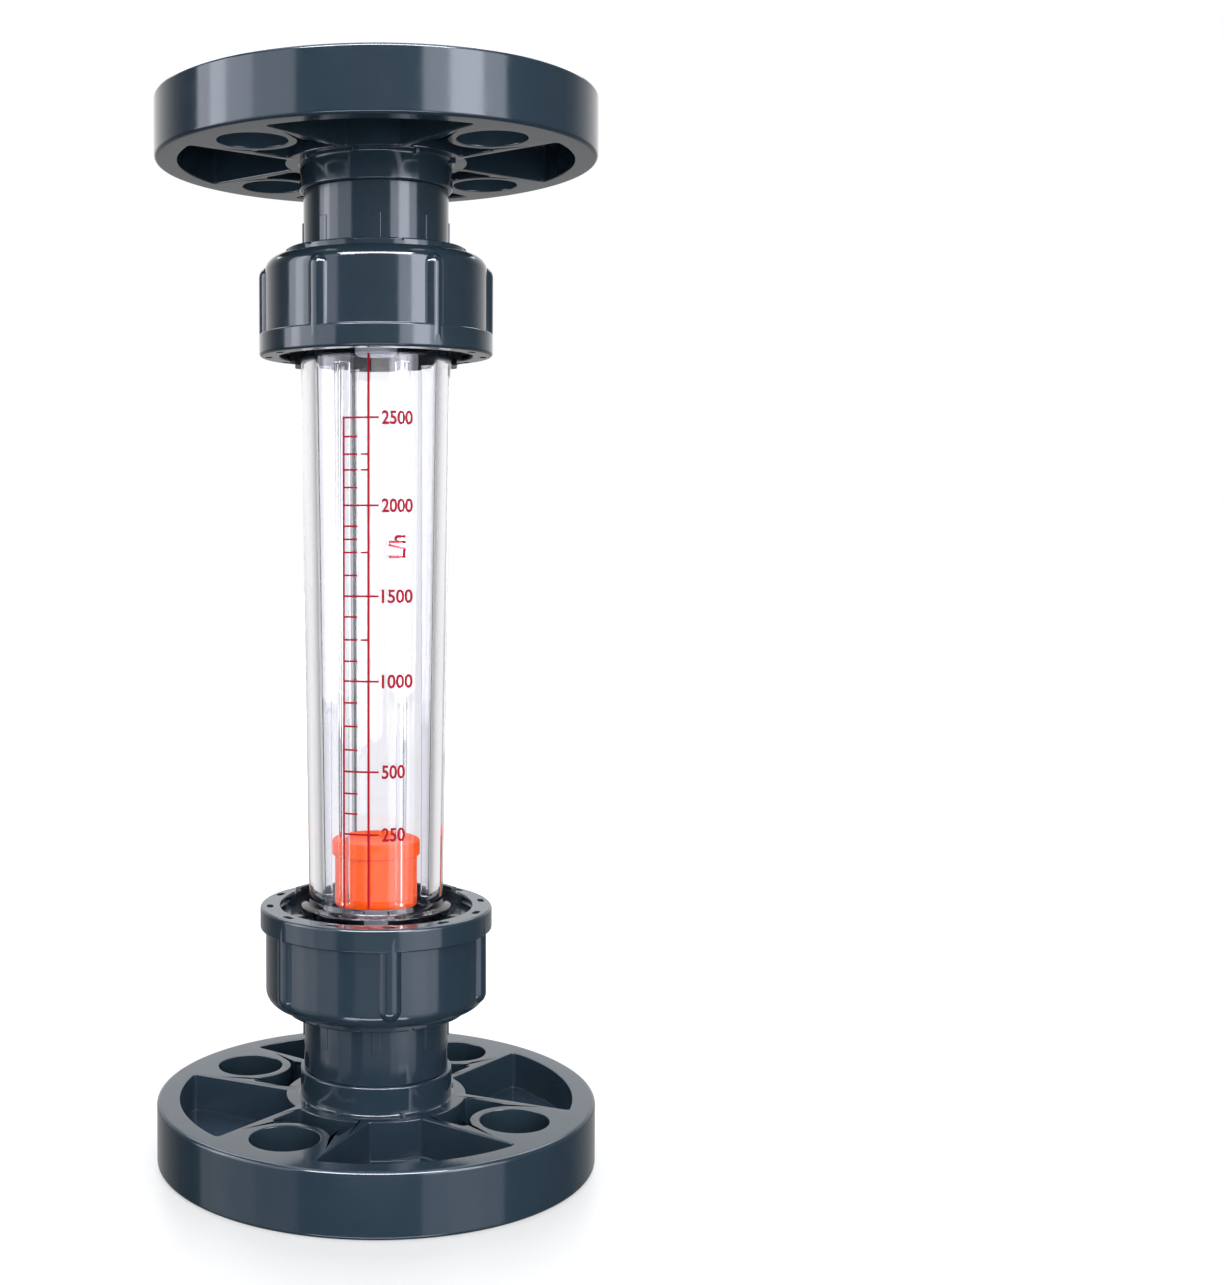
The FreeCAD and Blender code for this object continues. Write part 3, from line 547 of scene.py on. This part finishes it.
def make_flange(name, phase, upper):
    """Pipe flange with spigot, sunk pockets, bolt holes and nubs; phase turns its bolt holes."""
    section = [(BORE_R, 0), (FLANGE_R, 0), (FLANGE_R, FLANGE_THICK), (HUB_R, FLANGE_THICK),
               (HUB_R, HUB_TOP), (SPIGOT_R, HUB_TOP), (SPIGOT_R, SPIGOT_TOP), (BORE_R, SPIGOT_TOP)]
    radii = {0: 0.6 * MM, 1: 1.0 * MM, 2: 1.1 * MM, 3: 0.7 * MM, 4: 0.6 * MM}
    flange = lathe(name, rounded(section, radii, 4), 192)
    for cutter, first in ((large_pocket, 45.0), (small_pocket, 0.0), (bolt_hole, 0.0)):
        repeat_round(flange, cutter(), "DIFFERENCE", first, BOLT_COUNT)
    merge_close(flange)
    bevel_where(flange, lambda edge: at_height(edge, FLANGE_THICK) and between_top_and_wall(edge)
                and reach_of(edge) > POCKET_INNER - 0.1 * MM, POCKET_EDGE)
    bevel_where(flange, lambda edge: at_height(edge, 0) and between_top_and_wall(edge, -1.0)
                and reach_of(edge) > HUB_R, BACK_EDGE)
    return to_its_end(joined(name, [flange] + hub_nubs(phase)), phase, upper)


for name, phase, upper, node in (("lower_pipe_flange", BOTTOM_FLANGE_PHASE, False, "bottom_flange"),
                                 ("upper_pipe_flange", TOP_FLANGE_PHASE, True, "top_flange")):
    place_piece(make_flange(name, phase, upper), "root", "grey_upvc", grey_upvc, node)

# ------------------------------------------------------------------ union ends

NECK_R = 20.6 * MM
SOCKET_R = 17.1 * MM
COLLAR_R = 27.2 * MM
COLLAR_FOOT = 47.3 * MM
SEAT = 55.0 * MM
SEAL_INNER = 20.1 * MM
SEAL_OUTER = 23.3 * MM
SEAL_FLOOR = 52.05 * MM
STOP_R = 18.5 * MM
STOP_FLOOR = 50.0 * MM
THROAT_R = 15.0 * MM
THROAT_FOOT = 40.0 * MM
NECK_RIB_COUNT = 8
NECK_RIB_SIZE = mm(1.1, 2.6, 7.6)
NECK_RIB_MIDDLE = 38.0 * MM
NECK_RIB_SUNK = 0.25 * MM


def make_union_end(name, upper):
    """Neck with its socket for the spigot, its ribs, and the collar with seal and stop seats."""
    section = [(SOCKET_R, HUB_TOP), (NECK_R, HUB_TOP), (NECK_R, COLLAR_FOOT), (COLLAR_R, COLLAR_FOOT),
               (COLLAR_R, SEAT), (SEAL_OUTER, SEAT), (SEAL_OUTER, SEAL_FLOOR), (SEAL_INNER, SEAL_FLOOR),
               (SEAL_INNER, SEAT), (STOP_R, SEAT), (STOP_R, STOP_FLOOR), (THROAT_R, STOP_FLOOR),
               (BORE_R, THROAT_FOOT), (BORE_R, SPIGOT_TOP), (SOCKET_R, SPIGOT_TOP)]
    radii = {1: 0.35 * MM, 3: 0.5 * MM, 4: 0.5 * MM}
    end = lathe(name, rounded(section, radii, 3), 160)
    rib = small_block(NECK_R - NECK_RIB_SUNK, NECK_RIB_MIDDLE, NECK_RIB_SIZE, 0.0)
    repeat_round(end, rib, "UNION", 0.0, NECK_RIB_COUNT)
    return to_its_end(end, 0.0, upper)


for name, upper, node in (("lower_union_neck", False, "bottom_union_end"),
                          ("upper_union_neck", True, "top_union_end")):
    place_piece(make_union_end(name, upper), "root", "grey_upvc", grey_upvc, node)

# ------------------------------------------------------------------ union nuts

NUT_FOOT = 42.0 * MM
NUT_TOP = 72.0 * MM
NUT_R = 31.55 * MM
NUT_HOLE_R = 20.9 * MM
NUT_SHELF = 47.0 * MM
END_RING_R = 25.8 * MM
END_RING_TOP = 44.0 * MM
RIM_R = 33.15 * MM
RIM_FOOT = 65.7 * MM
THREAD_R = 27.5 * MM
GROOVE_R = 28.2 * MM
GROOVE_HALF = 0.7 * MM
GROOVE_HEIGHTS = mm(70.5, 68.0)
BORE_CUT_R = 27.45 * MM
BORE_CUT_TOP = 80.0 * MM
GRIP_COUNT = 6
GRIP_R = 3.4 * MM
GRIP_MIDDLE = 29.85 * MM
GRIP_FOOT = 49.6 * MM
GRIP_LENGTH = 18.3 * MM
RIM_POCKET_COUNT = 12
RIM_POCKET_MIDDLE = 30.4 * MM
RIM_POCKET_HALF = 1.05 * MM
RIM_POCKET_R = 0.9 * MM
RIM_POCKET_DEPTH = 2.6 * MM
CUT_CLEAR = 1.0 * MM
NOTCH_INNER = 24.8 * MM
NOTCH_HALF = 0.8 * MM
NOTCH_DEPTH = 0.8 * MM
NOTCH_FIRST = 15.0
LOWER_NUT_PHASE = -23.0


def grip_rib():
    """Round-nosed bar that stands out of the nut's wall, drawn at +X."""
    deselect_all()
    bpy.ops.mesh.primitive_uv_sphere_add(segments=40, ring_count=20, radius=GRIP_R,
                                         location=(GRIP_MIDDLE, 0, GRIP_FOOT))
    rib = bpy.context.object
    settle(rib)
    bpy.ops.object.mode_set(mode="EDIT")
    mesh = bmesh.from_edit_mesh(rib.data)
    for corner in mesh.verts:
        corner.select_set(corner.co.z > GRIP_FOOT + WELD)
    mesh.select_flush_mode()
    bmesh.update_edit_mesh(rib.data)
    bpy.ops.transform.translate(value=(0, 0, GRIP_LENGTH))
    bpy.ops.object.mode_set(mode="OBJECT")
    return rib


def rim_pocket():
    """Cutter for the small rounded slots in the nut's open rim, at +X."""
    outline = []
    for middle, first in ((RIM_POCKET_HALF, 0.0), (-RIM_POCKET_HALF, 180.0)):
        for x, y in arc(RIM_POCKET_R, first, first + 180.0, 8):
            outline.append((RIM_POCKET_MIDDLE + x, y + middle))
    return extruded("rim_pocket", outline, NUT_TOP - RIM_POCKET_DEPTH, NUT_TOP + CUT_CLEAR)


def end_notch():
    """Cutter for the small notches of the nut's end ring, at +X."""
    outline = [(NOTCH_INNER, -NOTCH_HALF), (THREAD_R, -NOTCH_HALF), (THREAD_R, NOTCH_HALF),
               (NOTCH_INNER, NOTCH_HALF)]
    return extruded("end_notch", outline, NUT_FOOT - CUT_CLEAR, NUT_FOOT + NOTCH_DEPTH)


def make_nut(name, phase, upper):
    """Union nut with grip ribs, rim band, rim pockets and end notches; phase turns its ribs."""
    section = [(NUT_HOLE_R, NUT_FOOT), (END_RING_R, NUT_FOOT), (END_RING_R, END_RING_TOP),
               (NUT_R, END_RING_TOP), (NUT_R, RIM_FOOT), (RIM_R, RIM_FOOT), (RIM_R, NUT_TOP),
               (THREAD_R, NUT_TOP)]
    for middle in GROOVE_HEIGHTS:
        section += [(THREAD_R, middle + GROOVE_HALF), (GROOVE_R, middle), (THREAD_R, middle - GROOVE_HALF)]
    section += [(THREAD_R, NUT_SHELF), (NUT_HOLE_R, NUT_SHELF)]
    radii = {0: 0.4 * MM, 1: 0.5 * MM, 3: 4.2 * MM, 4: 0.35 * MM, 5: 0.45 * MM, 6: 0.9 * MM, 7: 0.5 * MM}
    nut = lathe(name, rounded(section, radii, 8), 180)
    repeat_round(nut, grip_rib(), "UNION", 0.0, GRIP_COUNT)
    repeat_round(nut, rim_pocket(), "DIFFERENCE", 0.0, RIM_POCKET_COUNT)
    repeat_round(nut, end_notch(), "DIFFERENCE", NOTCH_FIRST, RIM_POCKET_COUNT)
    boolean(nut, extruded("bore", arc(BORE_CUT_R, 0, 357, 119), NUT_SHELF, BORE_CUT_TOP), "DIFFERENCE")
    merge_close(nut)
    return to_its_end(nut, phase, upper)


for name, phase, upper, node, body in (
        ("lower_union_nut", LOWER_NUT_PHASE, False, "bottom_union_nut", "bottom_nut"),
        ("upper_union_nut", 0.0, True, "top_union_nut", "top_nut")):
    place_piece(make_nut(name, phase, upper), body, "grey_upvc", grey_upvc, node)

# ------------------------------------------------------------------ split thread rings

RING_INNER = 21.8 * MM
RING_OUTER = 27.2 * MM
RING_FOOT = 60.0 * MM
RING_TOP = 69.5 * MM
RING_SUNK = 0.6 * MM
SPLIT_GAP = 0.3 * MM
RING_MIDDLE = 65.0 * MM
HALF_CUTTER = 100.0 * MM
LIP_WALL = mm(25.3, 27.0)
LIP_STEPS = ((68.0, 72.8 * MM), (61.0, 74.0 * MM))  # half angle in degrees, top
LUG_WALL = mm(22.2, 26.8)
LUG_HALF_ANGLE = 2.6
LUG_RISE = 0.9 * MM
LUG_DIRECTIONS = (20.0, 55.0, 90.0, 125.0, 160.0)


def add_ring_sector(ring, wall, middle, half_angle, top):
    """Adds a raised part to a ring; middle and half_angle are in degrees."""
    inner, outer = wall
    steps = max(3, int(half_angle / 2))
    outline = arc(outer, middle - half_angle, middle + half_angle, steps)
    outline += arc(inner, middle + half_angle, middle - half_angle, steps)
    boolean(ring, extruded("sector", outline, RING_TOP - RING_SUNK, top), "UNION")


def make_thread_ring_half(name, upper, front):
    """Half of the split ring; the front half has low lugs, the back half a raised lip."""
    section = [(RING_INNER, RING_FOOT), (RING_OUTER, RING_FOOT), (RING_OUTER, RING_TOP),
               (RING_INNER, RING_TOP)]
    half = lathe(name, rounded(section, {2: 0.4 * MM, 3: 0.5 * MM}, 3), 128)
    side = -1 if front != upper else 1
    deselect_all()
    away = -side * (HALF_CUTTER / 2 - SPLIT_GAP / 2)
    bpy.ops.mesh.primitive_cube_add(size=HALF_CUTTER, location=(0, away, RING_MIDDLE))
    boolean(half, bpy.context.object, "DIFFERENCE")
    if front:
        for direction in LUG_DIRECTIONS:
            add_ring_sector(half, LUG_WALL, side * direction, LUG_HALF_ANGLE, RING_TOP + LUG_RISE)
    else:
        for half_angle, top in LIP_STEPS:
            add_ring_sector(half, LIP_WALL, side * 90.0, half_angle, top)
    merge_close(half)
    bevel_where(half, lambda edge: between_top_and_wall(edge)
                and edge.verts[0].co.z > RING_TOP + LUG_RISE / 2, SMALL_ROUND)
    return to_its_end(half, 0.0, upper)


for end, upper in (("lower", False), ("upper", True)):
    for place, front in (("front", True), ("back", False)):
        node = "%s_thread_ring_%s" % ("top" if upper else "bottom", place)
        place_piece(make_thread_ring_half("%s_ring_%s" % (end, place), upper, front),
                    "root", "dark_upvc", dark_upvc, node)

# ------------------------------------------------------------------ clear tube

TUBE_LOW, TUBE_HIGH = mm(74.2, 227.6)
TUBE_R_LOW, TUBE_R_HIGH = mm(19.15, 21.4)
TUBE_BORE_LOW, TUBE_BORE_HIGH = mm(15.3, 17.55)
TUBE_SEAT_R = 25.5 * MM
TUBE_SEAT_TOP = 60.0 * MM
SHOULDER_R = 21.5 * MM
SHOULDER_LOW = 72.0 * MM
SHOULDER_HIGH = 228.0 * MM
BEAD = mm(19.65, 72.7)
FIN_INNER, FIN_OUTER = mm(12.85, 18.6)
FIN_TIP_HALF, FIN_ROOT_HALF = mm(0.55, 1.2)
FIN_LOW, FIN_HIGH = mm(74.5, 225.5)
FIN_COUNT = 6
FIN_FIRST = -4.5


def tube_radius(height):
    """Outside radius of the tube at a height."""
    share = (height - TUBE_LOW) / (TUBE_HIGH - TUBE_LOW)
    return TUBE_R_LOW + (TUBE_R_HIGH - TUBE_R_LOW) * share


def make_tube():
    """Tapered tube in one piece with its two seats, shoulders and guide fins."""
    section = [(TUBE_BORE_LOW, SEAT), (TUBE_SEAT_R, SEAT), (TUBE_SEAT_R, TUBE_SEAT_TOP),
               (SHOULDER_R, TUBE_SEAT_TOP), (SHOULDER_R, SHOULDER_LOW), BEAD,
               (TUBE_R_LOW, TUBE_LOW), (TUBE_R_HIGH, TUBE_HIGH), (SHOULDER_R, SHOULDER_HIGH),
               (SHOULDER_R, HEIGHT - TUBE_SEAT_TOP), (TUBE_SEAT_R, HEIGHT - TUBE_SEAT_TOP),
               (TUBE_SEAT_R, HEIGHT - SEAT), (TUBE_BORE_HIGH, HEIGHT - SEAT),
               (TUBE_BORE_HIGH, SHOULDER_HIGH), (TUBE_BORE_LOW, SHOULDER_LOW)]
    radii = {4: 0.5 * MM, 5: 0.7 * MM, 6: 0.8 * MM, 13: 2.0 * MM, 14: 2.0 * MM}
    tube = lathe("clear_metering_tube", rounded(section, radii, 6), 192)
    fin_plan = [(FIN_INNER, -FIN_TIP_HALF), (FIN_OUTER, -FIN_ROOT_HALF),
                (FIN_OUTER, FIN_ROOT_HALF), (FIN_INNER, FIN_TIP_HALF)]
    fin = extruded("guide_fin", rounded(fin_plan, {0: 0.5 * MM, 3: 0.5 * MM}, 5), FIN_LOW, FIN_HIGH)
    repeat_round(tube, fin, "UNION", FIN_FIRST, FIN_COUNT)
    smooth(tube)
    return tube


place_piece(make_tube(), "root", "clear_tube", clear, "metering_tube")

# ------------------------------------------------------------------ printed scale, in millimetres

PRINT_LIFT = 0.04
FIGURE_WEIGHT = 0.024
LEFT_LINE = (-9.15, -8.6)
MIDDLE_LINE = (-2.4, -1.75)
MAJOR_TICK = (-9.1, 0.75)
MINOR_TICK = (-9.1, -5.1)
SHORT_TICK = (-4.2, -1.8)
LEFT_LINE_TOP = 210.0
MIDDLE_LINE_TOP = 227.3
MAJOR_HALF = 0.27
MINOR_HALF = 0.25
FIGURES_FROM = 1.55
FIGURE_WIDTH = 2.13
FIGURE_HEIGHT = 3.85
MAJORS = (("2500", 209.8), ("2000", 185.8), ("1500", 160.9), ("1000", 137.5), ("500", 112.5), ("250", 95.1))
MINORS = (204.6, 199.8, 195.5, 190.7, 180.1, 176.5, 172.9, 166.6, 155.2, 148.9, 143.0, 131.5, 125.0, 118.5,
          106.4, 100.8)
SHORTS = (199.8, 195.5, 172.9, 148.9)
UNIT_WORDS = "L/h"
UNIT_FROM, UNIT_TO = 3.5, 8.2
UNIT_MIDDLE, UNIT_LENGTH = 174.5, 6.4


def wrap_on_tube(piece):
    """Lays a flat print, drawn in X and Z, on the front of the tube."""
    settle(piece)
    for corner in piece.data.vertices:
        radius = tube_radius(corner.co.z) + PRINT_LIFT * MM
        corner.co.y = -math.sqrt(radius * radius - corner.co.x * corner.co.x)


def print_bar(name, across, z_low, z_high):
    """A flat printed bar, divided so that it can bend round the tube."""
    x_low, x_high = across
    deselect_all()
    middle = ((x_low + x_high) / 2 * MM, 0, (z_low + z_high) / 2 * MM)
    bpy.ops.mesh.primitive_grid_add(x_subdivisions=10, y_subdivisions=1, size=MM, location=middle,
                                    rotation=(math.pi / 2, 0, 0))
    bpy.ops.transform.resize(value=(x_high - x_low, 1, z_high - z_low))
    bar = bpy.context.object
    bar.name = name
    wrap_on_tube(bar)
    return bar


def print_ticks(heights, across, half):
    """Level bars at several heights."""
    return [print_bar("tick", across, height - half, height + half) for height in heights]


def print_text(name, words, x_low, x_high, z_middle, height, upright=False):
    """Printed figures fitted between two X positions; upright text reads from below."""
    deselect_all()
    bpy.ops.object.text_add(location=(0, 0, 0))
    text = bpy.context.object
    text.name = name
    text.data.body = words
    text.data.size = 1.0
    text.data.offset = FIGURE_WEIGHT
    text.data.resolution_u = 6
    bpy.ops.object.convert(target="MESH")
    text = bpy.context.object
    merge_close(text, FIGURE_WELD)
    xs = [corner.co.x for corner in text.data.vertices]
    ys = [corner.co.y for corner in text.data.vertices]
    for corner in text.data.vertices:
        along = (corner.co.x - min(xs)) / (max(xs) - min(xs))
        rise = (corner.co.y - min(ys)) / (max(ys) - min(ys)) - 0.5
        if upright:
            across = x_high - (rise + 0.5) * (x_high - x_low)
            corner.co = Vector((across * MM, 0, (z_middle + (along - 0.5) * height) * MM))
        else:
            across = x_low + along * (x_high - x_low)
            corner.co = Vector((across * MM, 0, (z_middle + rise * height) * MM))
    wrap_on_tube(text)
    return text


prints = [print_bar("left_line", LEFT_LINE, FIN_LOW / MM, LEFT_LINE_TOP),
          print_bar("middle_line", MIDDLE_LINE, FIN_LOW / MM, MIDDLE_LINE_TOP)]
for label, height in MAJORS:
    prints += print_ticks((height,), MAJOR_TICK, MAJOR_HALF)
    prints.append(print_text("figures", label, FIGURES_FROM, FIGURES_FROM + FIGURE_WIDTH * len(label),
                             height, FIGURE_HEIGHT))
prints += print_ticks(MINORS, MINOR_TICK, MINOR_HALF)
prints += print_ticks(SHORTS, SHORT_TICK, MINOR_HALF)
prints.append(print_text("unit", UNIT_WORDS, UNIT_FROM, UNIT_TO, UNIT_MIDDLE, UNIT_LENGTH, upright=True))
place_piece(joined("flow_scale_print", prints), "root", "clear_tube", red_print)

# ------------------------------------------------------------------ float

FLOAT_R = 11.75 * MM
FLOAT_FOOT = 72.0 * MM
FLOAT_FLOOR = 75.6 * MM
BALLAST_R = 8.15 * MM
PLUG_R = 8.1 * MM
PLUG_FOOT = 84.7 * MM
BAND_R = 12.55 * MM
BAND_FOOT = 86.7 * MM
BAND_TOP = 91.1 * MM
LID_RIM_R = 10.4 * MM
LID_FACE_R = 9.8 * MM
LID_FACE = 90.1 * MM


def make_float_shell():
    """Cup of the float, with the ballast's bore."""
    section = [(0, FLOAT_FOOT), (FLOAT_R, FLOAT_FOOT), (FLOAT_R, BAND_FOOT), (BALLAST_R, BAND_FOOT),
               (BALLAST_R, FLOAT_FLOOR), (0, FLOAT_FLOOR)]
    return lathe("float_shell", rounded(section, {1: 1.4 * MM, 2: 0.2 * MM}, 5), 96)


def make_float_cap():
    """Banded lid with its plug below and its sunk face above."""
    section = [(0, PLUG_FOOT), (PLUG_R, PLUG_FOOT), (PLUG_R, BAND_FOOT), (BAND_R, BAND_FOOT),
               (BAND_R, BAND_TOP), (LID_RIM_R, BAND_TOP), (LID_FACE_R, LID_FACE), (0, LID_FACE)]
    radii = {3: 0.5 * MM, 4: 0.5 * MM, 5: 0.4 * MM, 6: 0.3 * MM}
    return lathe("float_top_band", rounded(section, radii, 4), 96)


for make_part, node in ((make_float_shell, "float_body"), (make_float_cap, "float_cap")):
    part = make_part()
    smooth(part)
    place_piece(part, "float", "orange_float", orange_painted_glow, node)

# ------------------------------------------------------------------ stage, light and camera


def build_floor_with_painted_shade():
    """Pale floor that glows for the camera, with painted shade: the glow is dimmer near the meter and
    brightens away from it to meet the white behind it.
    """
    deselect_all()
    bpy.ops.mesh.primitive_plane_add(size=8, location=(0, 0, -0.1 * MM))
    floor = bpy.context.object
    floor.name = "studio_floor"
    finish = bpy.data.materials.new("floor_white")
    finish.use_nodes = True
    tree = finish.node_tree
    shader = tree.nodes["Principled BSDF"]
    shader.inputs["Roughness"].default_value = 0.35
    shader.inputs["Emission Color"].default_value = (1, 1, 1, 1)
    seen = tree.nodes.new("ShaderNodeLightPath").outputs["Is Camera Ray"]
    reach = tree.nodes.new("ShaderNodeVectorMath")
    reach.operation = "LENGTH"
    tree.links.new(tree.nodes.new("ShaderNodeTexCoord").outputs["Object"], reach.inputs[0])
    # painted shade round the meter: the glow seen by the camera is half as strong close to it and full from
    # 0.32 m out
    away = map_range(tree, reach.outputs["Value"], (0.08, 0.32), (0.5, 1.0))
    tree.links.new(math_node(tree, "MULTIPLY", seen, away), shader.inputs["Emission Strength"])
    color = blend_color(tree, seen, (0.12, 0.12, 0.12), (0.42, 0.42, 0.42))
    tree.links.new(color, shader.inputs["Base Color"])
    paint(floor, finish)
    floor.visible_glossy = False
    floor.visible_transmission = False


def build_world():
    """White to the eye; in gloss, white behind and darker in front; through glass, white both ways."""
    world = bpy.data.worlds.new("studio")
    bpy.context.scene.world = world
    world.use_nodes = True
    tree = world.node_tree
    seen = tree.nodes["Background"]
    seen.inputs["Color"].default_value = (1, 1, 1, 1)
    seen.inputs["Strength"].default_value = 1.0
    around = tree.nodes.new("ShaderNodeBackground")
    parts = tree.nodes.new("ShaderNodeSeparateXYZ")
    tree.links.new(tree.nodes.new("ShaderNodeTexCoord").outputs["Generated"], parts.inputs[0])
    path = tree.nodes.new("ShaderNodeLightPath")
    through_tube = path.outputs["Is Transmission Ray"]
    either_way = math_node(tree, "ABSOLUTE", parts.outputs["Y"], 0.0)
    either_way = math_node(tree, "MULTIPLY", either_way, through_tube)
    facing = math_node(tree, "MAXIMUM", parts.outputs["Y"], either_way)
    ramp = map_range(tree, facing, (0.3, 0.96), (0.11, 1.08), "SMOOTHSTEP")
    below = map_range(tree, parts.outputs["Z"], (-0.08, 0.02), (0.4, 1.0))
    dimmed = math_node(tree, "MAXIMUM", below, through_tube)
    tree.links.new(math_node(tree, "MULTIPLY", ramp, dimmed), around.inputs["Color"])
    mix = tree.nodes.new("ShaderNodeMixShader")
    tree.links.new(path.outputs["Is Camera Ray"], mix.inputs[0])
    tree.links.new(around.outputs[0], mix.inputs[1])
    tree.links.new(seen.outputs[0], mix.inputs[2])
    tree.links.new(mix.outputs[0], tree.nodes["World Output"].inputs["Surface"])


COOL_LIGHT = (0.87, 0.89, 1.0)
NEUTRAL_LIGHT = (0.98, 0.99, 1.0)


def softbox(name, azimuth, elevation, distance, width, height, radiance, middle=0.15, color=COOL_LIGHT):
    """Area light aimed at a height on the axis; azimuth 0 is the front, + towards +X."""
    data = bpy.data.lights.new(name, "AREA")
    data.shape = "RECTANGLE"
    data.size = width
    data.size_y = height
    data.energy = radiance * math.pi * width * height
    data.color = color
    lamp = bpy.data.objects.new(name, data)
    bpy.context.collection.objects.link(lamp)
    turn, rise = math.radians(azimuth), math.radians(elevation)
    back = Vector((math.sin(turn) * math.cos(rise), -math.cos(turn) * math.cos(rise), math.sin(rise)))
    lamp.location = Vector((0, 0, middle)) + back * distance
    lamp.rotation_mode = "QUATERNION"
    lamp.rotation_quaternion = back.to_track_quat("Z", "Y")
    return lamp


def reflected_strip(*placing):
    """Softbox that shows in gloss and glass only."""
    softbox(*placing).visible_diffuse = False


build_floor_with_painted_shade()
build_world()

# upright strips beside the meter: azimuth, distance, width, radiance above and below
SIDE_STRIPS = (("right", 44, 0.9, 0.72, 4.2, 1.9), ("right_core", 44, 0.86, 0.26, 5.4, 0.3),
               ("left", -50, 0.9, 0.36, 2.1, 0.9), ("left_side", -80, 0.9, 0.60, 4.0, 1.4),
               ("left_core", -83, 0.86, 0.16, 3.2, 0.3))
# each strip has three storeys: height, middle, and its share of the two radiances
STOREYS = (("_high", 0.76, 0.40, 1.0, 0.0), ("_low", 0.24, -0.11, 0.0, 1.0), ("_foot", 0.36, -0.41, 0.0, 0.5))
for name, azimuth, distance, width, above, below in SIDE_STRIPS:
    for storey, height, middle, of_above, of_below in STOREYS:
        reflected_strip(name + storey, azimuth, 0, distance, width, height,
                        above * of_above + below * of_below, middle)
reflected_strip("floor_glow", 0, 0, 0.9, 0.7, 0.2, 0.45, -0.205)
reflected_strip("front_top_strip", 0, 46, 1.2, 1.4, 0.36, 40.0)
reflected_strip("front_low_strip", 0, -44, 1.2, 1.2, 0.25, 9.0)
softbox("front_fill", 10, 14, 1.3, 1.2, 1.0, 4.2, color=NEUTRAL_LIGHT).visible_glossy = False
softbox("overhead", 0, 80, 1.1, 1.3, 1.0, 2.2, color=NEUTRAL_LIGHT)
softbox("rear_top", 180, 48, 1.2, 1.8, 0.5, 4.0)

CAMERA_PLACE = (0, -0.49359, 0.1809)
CAMERA_DOWN = 1.61
SENSOR, LENS = 36.0, 48.484
SHIFT_X, SHIFT_Y = 0.1836, -0.0549
camera_data = bpy.data.cameras.new("product_camera")
camera = bpy.data.objects.new("product_camera", camera_data)
bpy.context.collection.objects.link(camera)
bpy.context.scene.camera = camera
camera_data.sensor_width = SENSOR
camera_data.lens = LENS
camera_data.shift_x = SHIFT_X
camera_data.shift_y = SHIFT_Y
camera.location = CAMERA_PLACE
camera.rotation_euler = (math.radians(90 - CAMERA_DOWN), 0, 0)
bpy.context.scene.view_settings.view_transform = "Standard"
